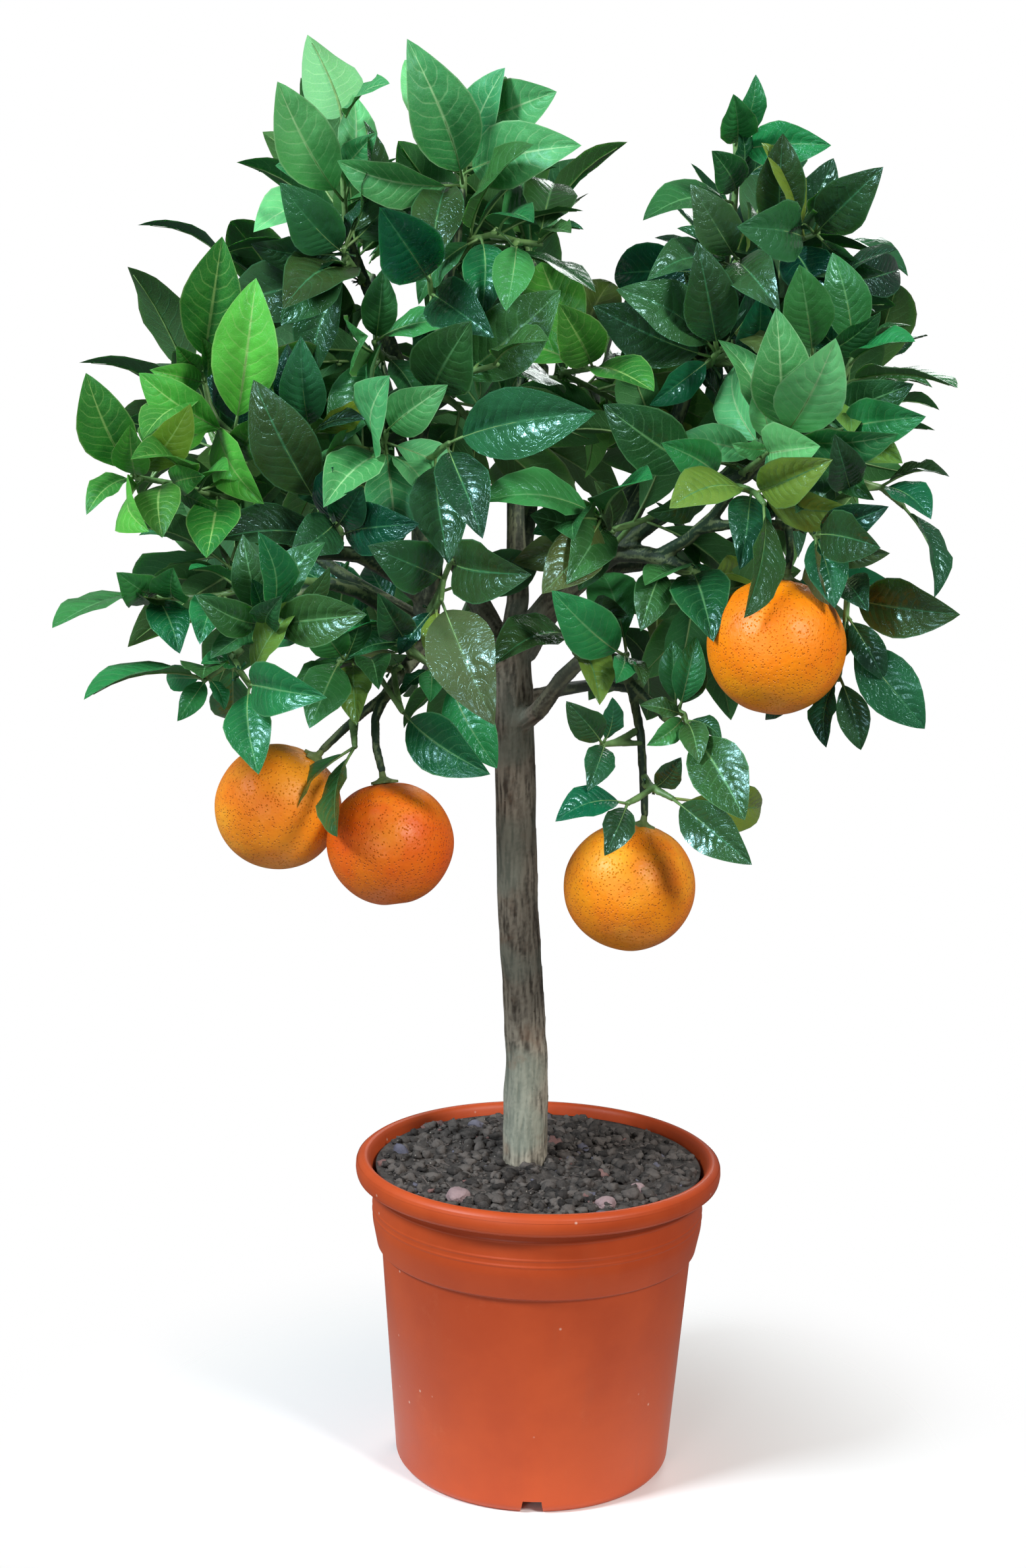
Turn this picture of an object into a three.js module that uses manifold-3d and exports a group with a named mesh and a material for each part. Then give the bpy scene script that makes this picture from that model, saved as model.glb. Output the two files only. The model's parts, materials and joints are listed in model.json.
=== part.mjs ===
// Young orange tree in a moulded nursery pot. Millimetres, +Z up, origin at the centre of the pot's base,
// the tree's face towards -Y. The pot and its soil are turned shapes; the trunk with its limbs is one branching
// solid; every leafy shoot is a twig with its leaves grown on it, as one solid.
import * as THREE from 'three';
import { mergeVertices } from 'three/addons/utils/BufferGeometryUtils.js';
import Module from 'manifold-3d';

const wasm = await Module();
wasm.setup();

// ---------------------------------------------------------------- driving dimensions
const GAP = 0.35;                     // clearance between neighbouring pieces
const POT = { height: 190, rim: 110, mouth: 100, band: 98.8, neck: 93, foot: 80, wall: 2.6, floor: 9.5, sides: 28 };
const NOTCH = { height: 8, top: 13, bottom: 19, count: 4 };
const DRAIN = { radius: 5, ring: 52, count: 4 };
const SOIL = { top: 183, ripple: 1.6, mound: 3 };
const LEAF = { length: 84, width: 0.46, thick: 1, stalk: 0.14, stalkRadius: 0.9, fold: 0.3, arch: 0.09 };
const TWIG = { start: 2.4, end: 1.4, sides: 5 };
const CALYX = { radius: 6.5, height: 2.6 };

// The crown is drawn on the elevation through the trunk: x across, z up. Each place is then carried along its
// sight line from the eye to its own depth y, and the whole crown leans a little to the left.
const EYE = new THREE.Vector3(-20, -1327, 636);
const LEAN = { angle: THREE.MathUtils.degToRad(1.25), x: -20, z: 414 };

const TONES = {
  leaf_light: [0x8fa86a, 0.5],
  leaf_bright: [0x6f9a35, 0.45],
  leaf_mature: [0x4a7032, 0.38],
  leaf_dark: [0x2f4f2c, 0.33],
};

// Trunk and limbs: x, z, y and radius of the wood at each point.
const LIMBS = [
  // trunk, from the root stub in the soil to the fork
  [[-13, 128, 0, 8], [-13, 186, 0, 14], [-13, 203, 0, 12], [-12, 250, 0, 11.4], [-17, 335, 0, 11.4],
    [-19, 420, 0, 11], [-20, 480, -2, 11.5], [-22, 500, -4, 10.5]],
  // left main limb
  [[-20, 490, -3, 9.5], [-48, 492, -10, 8.5], [-72, 505, -18, 7.5]],
  // tall left stem
  [[-69, 499, -18, 7], [-72, 540, -20, 6.5], [-72, 585, -15, 6], [-75, 622, -10, 5.5], [-87, 660, 0, 4.6],
    [-102, 697, 10, 3.8], [-114, 729, 12, 2.8]],
  // green stem with a cut end, and its side shoot
  [[-68, 512, -20, 5.5], [-66, 530, -30, 5.5], [-65, 560, -34, 5]],
  [[-65, 545, -33, 4], [-82, 578, -34, 3.2], [-92, 600, -34, 2.2]],
  // second upright, from the tall left stem
  [[-73, 612, -11, 4.5], [-65, 652, -20, 3.8], [-59, 690, -25, 3.2], [-51, 724, -25, 2.8], [-48, 752, -20, 2.3]],
  // level branch to the left, with a cut end
  [[-67, 518, -20, 5], [-104, 546, -35, 4.8], [-147, 549, -45, 4.4], [-162, 549, -50, 4.2]],
  // striped limb down to the left
  [[-70, 502, -18, 5.5], [-88, 514, -45, 5], [-113, 528, -70, 4.4], [-130, 531, -85, 4], [-146, 524, -92, 3.6]],
  // low left branch with the stalks of the first two fruits
  [[-66, 500, -17, 4.6], [-83, 481, -38, 4], [-95, 464, -58, 3.5]],
  [[-94, 466, -56, 3], [-112, 452, -60, 2.7], [-132, 433, -62, 2.4]],
  [[-94, 466, -56, 3], [-101, 448, -68, 2.7], [-96, 420, -80, 2.4]],
  // central leader
  [[-22, 490, -3, 7], [-17, 522, 8, 6], [-19, 578, 20, 5.2], [-15, 640, 30, 4.2], [-10, 685, 34, 3.2],
    [-8, 712, 34, 2.4]],
  // right limb and its forks
  [[-20, 490, -2, 9], [3, 520, -5, 8], [22, 538, -10, 7.5], [40, 551, -15, 6.6]],
  [[37, 549, -14, 5.5], [63, 546, -28, 5], [96, 530, -50, 4]],
  [[37, 549, -14, 5.5], [79, 579, -28, 5], [111, 591, -40, 4.4], [134, 613, -52, 3.6]],
  [[62, 546, -27, 4], [88, 562, -50, 3.6], [109, 589, -72, 2.8]],
  [[37, 549, -14, 6], [62, 598, 0, 5.2], [84, 655, 8, 4.4], [99, 712, 8, 3.4], [104, 752, 2, 2.4]],
  // branch to the fourth fruit, and its stalk
  [[88, 562, -50, 3.2], [118, 566, -74, 3], [141, 563, -88, 2.8]],
  [[137, 563, -85, 2.6], [139, 552, -100, 2.4], [138, 538, -108, 2.4]],
  // right low branch from the trunk, the stalk of the third fruit and a cut stub
  [[-19, 446, -2, 5.4], [-6, 456, -16, 4.8], [22, 490, -42, 4.2], [44, 486, -60, 3.6]],
  [[42, 488, -59, 3.2], [50, 465, -68, 2.8], [54, 445, -74, 2.6], [57, 394, -80, 2.4]],
  [[46, 476, -63, 2.6], [56, 466, -72, 2.4], [69, 451, -82, 2.2]],
  // limbs at the back
  [[-24, 490, 2, 7], [-50, 540, 40, 6], [-80, 600, 80, 5], [-96, 660, 105, 3.8], [-99, 705, 110, 2.6]],
  [[-14, 490, 2, 7], [18, 545, 45, 6], [58, 600, 85, 5], [82, 650, 108, 3.8], [90, 692, 115, 2.6]],
  [[-18, 515, 6, 5.5], [-12, 560, 60, 4.8], [-5, 610, 100, 4], [-2, 655, 118, 2.8]],
  [[-46, 492, -8, 5], [-90, 520, 30, 4.4], [-140, 550, 60, 3.6], [-175, 590, 75, 2.6]],
  [[22, 538, -8, 5], [70, 545, 25, 4.4], [125, 560, 50, 3.6], [160, 595, 65, 2.6]],
  [[-18, 470, 4, 4.6], [-30, 482, 50, 4], [-40, 470, 95, 3], [-45, 455, 130, 2.2]],
  [[-18, 462, 3, 4.6], [20, 472, 50, 4], [50, 470, 95, 3], [75, 450, 120, 2.2]],
];

// Fruits: the end of the stalk, the way the fruit hangs from it (both x, z, y), and its radii across and along.
const FRUITS = [
  { towards: [-156, 402, -62], across: 35.5, along: 36, stalk: [-132, 433, -62] },
  { towards: [-92, 379, -88], across: 35, along: 35, stalk: [-96, 420, -80] },
  { towards: [48, 351, -82], across: 36.6, along: 36, stalk: [57, 394, -80] },
  { towards: [132, 495, -116], across: 36.8, along: 37, stalk: [138, 538, -108] },
];

// Stones on the soil: x, y and the three radii.
const STONES = [
  [-46, -66, [9, 7, 5]],
  [38, -70, [7, 6, 4.5]],
  [58, -42, [6, 5, 4]],
];

// Leafy shoots. A twig's path is x, z, y. A leaf is: place along the twig from 0 to 1, its tip's x and z,
// -1 if the tip is nearer the eye than its base or 1 if it is further, the way its upper face looks
// (front, back, up, down, left, right), and its size if that isn't 1. A whorl gives a twig that many leaves
// round it by rule.
const SHOOTS = {
  shoot_crown_left_tip: ['leaf_light', [
    { path: [[-113, 725, 12], [-115, 760, 6], [-115, 789, 2]],
      leaves: [[1, -133, 833, 1, 'b'], [0.97, -90, 810, -1, 'fu', 0.6], [0.3, -151, 810, -1, 'f'],
        [0.55, -140, 757, -1, 'f', 0.5], [0.55, -105, 775, -1, 'f', 0.5], [0.1, -162, 744, -1, 'fu'],
        [0.75, -146, 782, 1, 'f', 0.5]] },
  ]],
  shoot_crown_peak: ['leaf_light', [
    { path: [[-48, 747, -20], [-47, 767, -20], [-42, 786, -14]],
      leaves: [[0.15, -76, 826, -1, 'f', 1.1], [0.5, -80, 821, 1, 'f', 0.8], [0.1, -114, 787, 1, 'b'],
        [0.95, -10, 804, 1, 'f', 0.8], [1, 5, 804, -1, 'f', 0.85], [0.3, 2, 774, -1, 'f']] },
  ]],
  shoot_crown_middle: ['leaf_mature', [
    { path: [[-51, 713, -25], [-38, 727, -38], [-18, 723, -52], [-3, 721, -58]],
      leaves: [[0.2, 12, 760, -1, 'fu'], [0.45, 2, 748, 1, 'f'], [0.55, -10, 738, -1, 'fu', 0.7],
        [0.1, 30, 716, -1, 'u'], [0.95, 12, 729, -1, 'fu', 0.5], [1, 5, 759, 1, 'f', 0.8],
        [0.35, -38, 684, -1, 'f', 0.7], [0.75, -24, 684, -1, 'f', 0.65]] },
  ]],
  shoot_crown_left_dark: ['leaf_dark', [
    { path: [[-103, 700, 10], [-112, 712, -12], [-115, 720, -26]],
      leaves: [[0.4, -191, 718, -1, 'u'], [0.3, -151, 708, -1, 'fu'], [0.25, -161, 680, 1, 'fu'],
        [0.8, -141, 735, -1, 'f', 0.8], [1, -131, 746, 1, 'fl', 0.7], [0.95, -88, 761, 1, 'fr'],
        [0.5, -175, 702, 1, 'f'], [0.6, -140, 690, -1, 'f', 0.7]] },
  ]],
  shoot_upper_left: ['leaf_mature', [
    { path: [[-86, 657, -2], [-94, 660, -22], [-99, 668, -40]],
      leaves: [[0.5, -162, 677, 1, 'b'], [0.9, -93, 708, -1, 'f', 0.6], [1, -68, 694, -1, 'fu', 0.6],
        [0.4, -91, 684, -1, 'fl'], [0.45, -112, 632, -1, 'f', 0.8], [0.8, -135, 650, -1, 'fu', 0.9]] },
    { path: [[-94, 660, -22], [-112, 656, -2], [-130, 660, 24]], whorl: 6 },
  ]],
  shoot_second_stem: ['leaf_dark', [
    { path: [[-60, 684, -25], [-66, 694, -42], [-67, 703, -52]],
      leaves: [[0.9, -95, 742, -1, 'f'], [1, -45, 740, 1, 'f', 0.8], [0.6, -34, 672, -1, 'f', 0.9]] },
  ]],
  shoot_green_stem: ['leaf_light', [
    { path: [[-90, 596, -34], [-93, 608, -42], [-92, 618, -48]],
      leaves: [[0.5, -114, 648, -1, 'fl'], [0.8, -102, 650, 1, 'f', 0.8], [1, -62, 640, -1, 'f', 0.7],
        [0.4, -128, 577, -1, 'fu', 0.9], [0.7, -90, 565, -1, 'f', 0.8]] },
    { path: [[-93, 608, -42], [-110, 606, -24], [-124, 606, -4]], whorl: 6 },
  ]],
  shoot_left_cluster: ['leaf_bright', [
    { path: [[-147, 549, -45], [-166, 575, -42], [-178, 603, -40], [-191, 628, -38], [-197, 656, -38]], radius: 3.6,
      leaves: [[0.99, -183, 726, -1, 'f'], [0.9, -223, 651, -1, 'f', 0.5], [0.95, -208, 661, -1, 'f', 0.45],
        [0.8, -231, 616, -1, 'u', 0.8], [0.72, -168, 577, -1, 'fl', 0.8], [0.5, -161, 629, -1, 'f', 0.6]] },
    { path: [[-177, 601, -41], [-179, 617, -54]],
      leaves: [[0.9, -165, 702, -1, 'f', 1.05], [0.6, -205, 640, -1, 'fu', 0.7]] },
    { path: [[-166, 575, -42], [-190, 581, -60], [-215, 588, -72], [-239, 592, -76]],
      leaves: [[1, -262, 649, -1, 'f', 0.85], [0.95, -238, 621, -1, 'f', 0.6], [0.85, -215, 622, 1, 'f', 0.9],
        [1, -264, 573, -1, 'fu', 0.5], [0.55, -237, 603, -1, 'fu', 0.8], [0.5, -182, 595, -1, 'fu', 0.6],
        [0.75, -222, 560, -1, 'f', 0.7], [0.9, -246, 560, -1, 'fl', 0.8], [0.35, -196, 545, -1, 'f', 0.8],
        [0.7, -188, 614, -1, 'f', 0.55]] },
    { path: [[-178, 603, -40], [-166, 612, -12], [-160, 620, 18]], whorl: 6 },
  ]],
  shoot_level_branch: ['leaf_dark', [
    { path: [[-122, 548, -40], [-130, 572, -52], [-133, 600, -54], [-135, 619, -52]],
      leaves: [[0.4, -150, 637, -1, 'f'], [0.35, -152, 615, 1, 'f', 0.8], [1, -140, 668, -1, 'f', 0.75],
        [0.95, -161, 662, 1, 'fl'], [1, -110, 648, -1, 'fu', 0.6], [0.6, -100, 612, -1, 'fu', 0.8]] },
    { path: [[-122, 549, -41], [-118, 560, -58], [-124, 568, -68]],
      leaves: [[0.3, -191, 575, -1, 'fu'], [0.8, -109, 599, -1, 'f', 0.6], [1, -102, 586, -1, 'fu', 0.6],
        [0.9, -142, 552, -1, 'f', 0.7], [0.5, -95, 560, -1, 'f', 0.8]] },
    { path: [[-130, 572, -52], [-118, 586, -20], [-112, 600, 8]], whorl: 6 },
  ]],
  shoot_heart: ['leaf_mature', [
    { path: [[-76, 632, -8], [-62, 640, -45], [-46, 650, -72], [-28, 655, -88]],
      leaves: [[0.3, -36, 690, -1, 'f'], [0.5, -8, 685, -1, 'f'], [1, 0, 669, -1, 'fu', 0.7],
        [0.8, 10, 640, 1, 'fu', 0.9], [0.35, -69, 571, -1, 'f', 0.85]] },
    { path: [[-62, 640, -45], [-46, 626, -22], [-40, 614, 4]], whorl: 6 },
  ]],
  shoot_front_centre: ['leaf_dark', [
    { path: [[-72, 592, -14], [-63, 606, -58], [-56, 611, -92]],
      leaves: [[1, 25, 627, -1, 'f', 1.1], [0.5, -57, 543, -1, 'f', 0.9], [0.9, -38, 572, -1, 'fu', 0.8]] },
  ]],
  shoot_leader_right: ['leaf_bright', [
    { path: [[-14, 648, 30], [8, 650, -12], [27, 653, -44]],
      leaves: [[1, 6, 688, -1, 'f', 0.8], [0.9, -5, 714, 1, 'f'], [0.97, 60, 640, -1, 'fu', 0.8],
        [0.5, -20, 700, -1, 'f', 0.9], [0.7, 35, 700, 1, 'f', 0.9]] },
    { path: [[8, 650, -12], [28, 640, 10], [44, 632, 30]], whorl: 6 },
  ]],
  shoot_right_fork_front: ['leaf_mature', [
    { path: [[37, 550, -14], [35, 561, -50], [30, 569, -76]],
      leaves: [[1, -38, 581, -1, 'fu', 0.95], [0.5, -1, 567, -1, 'f', 0.8], [0.6, -20, 543, -1, 'f', 0.6],
        [0.9, 60, 590, -1, 'fu', 0.9], [0.7, 15, 535, -1, 'f', 0.8]] },
    { path: [[35, 561, -50], [52, 566, -34], [66, 572, -18]], whorl: 5 },
  ]],
  shoot_left_fork_front: ['leaf_dark', [
    { path: [[-69, 508, -20], [-62, 528, -58], [-55, 545, -86]],
      leaves: [[1, -12, 536, -1, 'f'], [0.9, -40, 573, -1, 'f', 0.8], [0.5, -5, 542, 1, 'f', 0.8],
        [0.7, -95, 555, -1, 'f', 0.8]] },
    { path: [[-67, 514, -32], [-64, 518, -66], [-61, 522, -84]],
      leaves: [[1, -35, 456, -1, 'f', 1.05], [0.6, -62, 482, -1, 'f', 0.5]] },
  ]],
  shoot_right_top: ['leaf_mature', [
    { path: [[101, 722, 7], [105, 752, -2], [104, 777, -4]],
      leaves: [[1, 103, 801, -1, 'f', 0.6], [0.9, 137, 777, -1, 'f', 0.7], [0.5, 92, 771, -1, 'f', 0.6],
        [0.6, 143, 774, 1, 'f', 0.8], [0.25, 75, 745, -1, 'f', 0.75], [0.4, 57, 744, -1, 'fu', 0.8]] },
  ]],
  shoot_right_top_outer: ['leaf_dark', [
    { path: [[98, 706, 8], [124, 716, -12], [152, 728, -24]],
      leaves: [[1, 184, 760, -1, 'f', 0.8], [0.95, 174, 733, -1, 'fu', 0.6], [0.85, 119, 734, -1, 'f', 0.9],
        [0.6, 143, 774, -1, 'f', 0.8], [0.7, 155, 690, -1, 'f', 0.8]] },
    { path: [[98, 706, 8], [101, 706, -22], [107, 713, -36]],
      leaves: [[1, 82, 751, -1, 'f', 0.7], [0.8, 58, 718, -1, 'fu', 0.8], [0.6, 75, 690, -1, 'f', 0.6],
        [0.5, 33, 705, 1, 'f', 0.95], [0.95, 125, 690, -1, 'f', 0.8]] },
  ]],
  shoot_right_outer_high: ['leaf_dark', [
    { path: [[84, 655, 8], [118, 658, -14], [146, 676, -28], [162, 703, -32]],
      leaves: [[1, 196, 718, -1, 'fu', 0.6], [0.97, 199, 708, 1, 'f', 0.7], [0.7, 184, 685, -1, 'u', 0.6],
        [0.75, 152, 718, 1, 'f', 0.7], [0.35, 120, 692, -1, 'f', 0.8]] },
  ]],
  shoot_right_face: ['leaf_dark', [
    { path: [[80, 645, 8], [90, 655, -24], [97, 663, -42]],
      leaves: [[1, 84, 721, -1, 'f', 0.85], [0.9, 61, 712, -1, 'fr', 0.9], [0.8, 36, 684, -1, 'f', 0.9],
        [0.5, 46, 700, 1, 'f', 0.9]] },
    { path: [[90, 655, -24], [110, 664, -2], [126, 674, 18]], whorl: 6 },
  ]],
  shoot_right_outer: ['leaf_mature', [
    { path: [[133, 612, -52], [150, 627, -58], [166, 645, -60], [173, 660, -64]], radius: 3.2,
      leaves: [[0.9, 207, 668, -1, 'fu', 0.7], [0.7, 232, 640, -1, 'u'], [1, 160, 716, -1, 'f', 0.7]] },
    { path: [[140, 618, -54], [146, 642, -64], [150, 660, -66]],
      leaves: [[1, 141, 710, -1, 'f', 0.75], [0.9, 160, 705, 1, 'f', 0.8], [0.6, 118, 650, -1, 'f', 0.7]] },
    { path: [[146, 623, -57], [156, 621, -76], [164, 617, -86]],
      leaves: [[0.6, 204, 642, -1, 'f', 0.7], [1, 212, 625, -1, 'f', 0.75], [0.9, 197, 598, -1, 'f', 0.6],
        [0.5, 150, 588, -1, 'f', 0.8]] },
    { path: [[150, 627, -58], [142, 640, -30], [136, 650, -4]], whorl: 6 },
  ]],
  shoot_right_fan: ['leaf_light', [
    { path: [[111, 591, -40], [124, 604, -68], [134, 615, -90]],
      leaves: [[1, 130, 681, -1, 'f', 0.9], [0.95, 164, 676, -1, 'f', 0.95], [0.5, 102, 670, -1, 'fr', 0.8],
        [0.6, 113, 664, 1, 'fl', 0.8], [0.75, 118, 646, -1, 'f', 0.5], [0.6, 182, 617, -1, 'f', 0.9]] },
  ]],
  shoot_right_inner: ['leaf_mature', [
    { path: [[62, 598, 0], [78, 604, -40], [88, 594, -66], [100, 590, -84]],
      leaves: [[0.4, 42, 640, -1, 'f', 0.8], [0.75, 33, 627, -1, 'f', 0.9], [1, 64, 611, -1, 'f', 0.7],
        [0.3, 21, 594, -1, 'fu', 0.7]] },
    { path: [[78, 604, -40], [56, 612, -30], [38, 622, -14]], whorl: 6 },
  ]],
  shoot_lower_right: ['leaf_dark', [
    { path: [[141, 563, -88], [151, 566, -92], [162, 575, -96], [184, 590, -96], [204, 574, -92]], radius: 2.8,
      leaves: [[0.75, 219, 569, -1, 'fu', 0.6], [1, 227, 526, -1, 'fr', 0.7], [0.5, 165, 612, -1, 'f', 0.6]] },
    { path: [[150, 566, -92], [150, 562, -106], [154, 558, -118]],
      leaves: [[0.9, 192, 573, -1, 'f', 0.6], [1, 205, 550, -1, 'f', 0.75], [0.7, 165, 519, -1, 'f', 0.6]] },
    { path: [[156, 569, -94], [170, 545, -100], [172, 508, -98], [168, 474, -94]],
      leaves: [[0.5, 234, 513, -1, 'f', 0.85], [0.6, 195, 475, -1, 'f', 0.5], [0.7, 211, 459, -1, 'f', 0.8],
        [1, 160, 437, -1, 'fl', 0.5], [0.97, 171, 437, -1, 'f', 0.5], [0.4, 184, 517, -1, 'f', 0.6],
        [0.9, 126, 452, 1, 'fu', 0.7]] },
  ]],
  shoot_over_fourth_fruit: ['leaf_dark', [
    { path: [[107, 586, -70], [118, 583, -96], [124, 576, -114]],
      leaves: [[1, 108, 510, -1, 'fr', 0.85], [0.6, 160, 600, -1, 'f', 0.8], [0.5, 70, 575, -1, 'fu', 0.8]] },
  ]],
  shoot_low_left_far: ['leaf_mature', [
    { path: [[-128, 531, -84], [-150, 533, -102], [-175, 527, -104], [-205, 522, -98], [-230, 524, -92]],
      leaves: [[0.98, -286, 505, -1, 'u', 0.85], [1, -254, 547, -1, 'f', 0.6], [0.85, -212, 548, -1, 'f', 0.6],
        [0.5, -206, 540, -1, 'u', 0.5], [0.6, -200, 500, -1, 'f', 0.6]] },
    { path: [[-175, 527, -104], [-182, 542, -80], [-192, 556, -58]], whorl: 6 },
  ]],
  shoot_low_left: ['leaf_mature', [
    { path: [[-144, 525, -91], [-155, 514, -97], [-168, 502, -98], [-184, 486, -98], [-200, 474, -104]], radius: 3.4,
      leaves: [[1, -269, 467, -1, 'u', 0.95], [0.95, -215, 451, -1, 'f', 0.4], [0.98, -221, 476, 1, 'f', 0.4],
        [0.7, -182, 450, 1, 'f', 0.7]] },
    { path: [[-160, 509, -98], [-163, 508, -118], [-161, 507, -132]],
      leaves: [[0.9, -162, 558, -1, 'fr', 0.7], [0.6, -175, 556, -1, 'f', 0.6], [1, -146, 534, -1, 'f', 0.5],
        [0.95, -104, 513, -1, 'f', 0.8], [0.7, -200, 522, -1, 'f', 0.6], [0.5, -192, 500, -1, 'fu', 0.5]] },
    { path: [[-182, 488, -98], [-177, 479, -120], [-172, 471, -134]],
      leaves: [[1, -169, 421, -1, 'f', 0.7], [0.95, -126, 455, -1, 'f', 0.85], [0.6, -200, 485, -1, 'fu', 0.4]] },
    { path: [[-168, 502, -98], [-166, 516, -70], [-168, 530, -44]], whorl: 6 },
  ]],
  shoot_low_left_inner: ['leaf_mature', [
    { path: [[-84, 480, -40], [-104, 487, -68], [-122, 486, -82]],
      leaves: [[1, -137, 450, -1, 'f', 0.7], [0.8, -114, 452, -1, 'f', 0.6], [0.9, -134, 505, -1, 'f', 0.6],
        [0.6, -97, 462, -1, 'fu', 0.6]] },
    { path: [[-90, 482, -48], [-86, 462, -74], [-84, 456, -88]],
      leaves: [[1, -37, 421, -1, 'f', 0.85]] },
  ]],
  shoot_between_fruits: ['leaf_mature', [
    { path: [[-112, 452, -60], [-112, 443, -74], [-112, 435, -80]],
      leaves: [[1, -122, 382, -1, 'fl', 0.8], [0.6, -150, 436, 1, 'b', 0.8]] },
  ]],
  shoot_curled: ['leaf_mature', [
    { path: [[-78, 487, -32], [-82, 496, -56], [-84, 502, -66]],
      leaves: [[1, -118, 500, -1, 'u', 0.6], [0.7, -116, 482, -1, 'fu', 0.5], [0.9, -97, 523, -1, 'f', 0.6]] },
    { path: [[-80, 491, -44], [-66, 482, -58], [-57, 477, -66]],
      leaves: [[1, -31, 425, -1, 'f', 0.75], [0.6, -68, 462, -1, 'f', 0.4], [0.8, -48, 503, -1, 'f', 0.5]] },
  ]],
  shoot_across_trunk: ['leaf_dark', [
    { path: [[-8, 506, -4], [6, 503, -40], [14, 501, -62]],
      leaves: [[1, -30, 489, -1, 'fu', 0.9], [0.8, 44, 515, -1, 'fu', 0.7]] },
  ]],
  shoot_right_low_tip: ['leaf_mature', [
    { path: [[43, 486, -58], [46, 490, -74], [44, 489, -84]],
      leaves: [[0.9, 5, 524, -1, 'f', 0.8], [1, 40, 474, -1, 'f', 0.4], [0.6, 30, 540, 1, 'f', 0.8]] },
  ]],
  shoot_right_branch_low: ['leaf_mature', [
    { path: [[95, 530, -49], [82, 538, -68], [66, 541, -80]],
      leaves: [[1, 54, 504, -1, 'f', 0.6], [0.5, 100, 498, -1, 'f', 0.9], [0.3, 122, 528, 1, 'fu', 0.8]] },
    { path: [[82, 538, -68], [90, 522, -48], [94, 506, -32]], whorl: 6 },
  ]],
  shoot_right_hanging: ['leaf_mature', [
    { path: [[67, 453, -80], [77, 459, -92], [82, 445, -102]],
      leaves: [[0.5, 86, 499, -1, 'f', 0.5], [0.4, 72, 498, -1, 'f', 0.45], [0.8, 88, 428, -1, 'f', 0.45],
        [0.7, 60, 439, -1, 'f', 0.4], [1, 116, 392, -1, 'f', 0.85]] },
  ]],
  shoot_by_third_fruit: ['leaf_dark', [
    { path: [[56, 419, -78], [63, 410, -96], [74, 405, -104]],
      leaves: [[0.5, 78, 430, -1, 'f', 0.4], [1, 118, 367, -1, 'f', 0.75], [0.95, 130, 398, 1, 'f', 0.8]] },
    { path: [[60, 413, -90], [54, 406, -104], [46, 402, -112]],
      leaves: [[1, 6, 394, -1, 'fu', 0.6]] },
  ]],
  shoot_third_fruit_left: ['leaf_dark', [
    { path: [[53, 446, -73], [40, 439, -88], [31, 437, -96]],
      leaves: [[1, 12, 461, -1, 'f', 0.5], [0.9, 25, 412, -1, 'f', 0.5], [0.6, 8, 432, -1, 'f', 0.5]] },
  ]],
  // shoots at the back and inside the crown
  shoot_back_left_high: ['leaf_mature', [
    { path: [[-99, 696, 109], [-111, 718, 122], [-117, 740, 126]], whorl: 8 },
    { path: [[-111, 718, 122], [-92, 730, 138], [-76, 738, 148]], whorl: 7 },
  ]],
  shoot_back_left_out: ['leaf_dark', [
    { path: [[-92, 650, 99], [-130, 672, 118], [-165, 690, 120]], whorl: 8 },
    { path: [[-130, 672, 118], [-142, 650, 116], [-152, 630, 112]], whorl: 7 },
  ]],
  shoot_back_right_high: ['leaf_dark', [
    { path: [[89, 682, 114], [102, 702, 122], [110, 720, 122]], whorl: 8 },
    { path: [[102, 702, 122], [118, 708, 108], [132, 716, 96]], whorl: 6 },
  ]],
  shoot_back_right_out: ['leaf_mature', [
    { path: [[78, 645, 104], [115, 668, 122], [150, 690, 124]], whorl: 8 },
    { path: [[115, 668, 122], [126, 645, 118], [135, 624, 110]], whorl: 7 },
  ]],
  shoot_back_centre: ['leaf_dark', [
    { path: [[-2, 645, 116], [-8, 668, 132], [-16, 688, 138]], whorl: 8 },
    { path: [[-8, 668, 132], [-30, 684, 128], [-48, 700, 120]], whorl: 7 },
  ]],
  shoot_back_middle: ['leaf_mature', [
    { path: [[-6, 602, 96], [-28, 618, 136], [-44, 634, 162]], whorl: 8 },
    { path: [[-28, 618, 136], [-6, 612, 156], [14, 608, 166]], whorl: 7 },
  ]],
  shoot_back_side_left: ['leaf_dark', [
    { path: [[-173, 586, 74], [-190, 612, 92], [-200, 640, 96]], whorl: 8 },
    { path: [[-190, 612, 92], [-178, 596, 112], [-168, 582, 126]], whorl: 7 },
  ]],
  shoot_back_side_right: ['leaf_mature', [
    { path: [[158, 592, 64], [172, 622, 82], [180, 652, 86]], whorl: 8 },
    { path: [[172, 622, 82], [160, 608, 106], [148, 594, 122]], whorl: 7 },
  ]],
  shoot_back_low_left: ['leaf_mature', [
    { path: [[-38, 473, 88], [-65, 490, 125], [-85, 510, 145]], whorl: 8 },
    { path: [[-65, 490, 125], [-94, 498, 114], [-120, 504, 98]], whorl: 7 },
  ]],
  shoot_back_low_right: ['leaf_dark', [
    { path: [[48, 470, 92], [70, 492, 125], [88, 515, 145]], whorl: 8 },
    { path: [[70, 492, 125], [98, 500, 110], [124, 506, 92]], whorl: 7 },
  ]],
  shoot_leader_top: ['leaf_mature', [
    { path: [[-9, 700, 34], [-12, 722, 40], [-18, 738, 42]], whorl: 7 },
    { path: [[-12, 722, 40], [-36, 724, 52], [-56, 728, 60]], whorl: 7 },
  ]],
  shoot_inner_right: ['leaf_dark', [
    { path: [[58, 600, 85], [90, 600, 60], [120, 606, 40]], whorl: 7 },
    { path: [[90, 600, 60], [96, 628, 48], [104, 650, 40]], whorl: 6 },
  ]],
};

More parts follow.
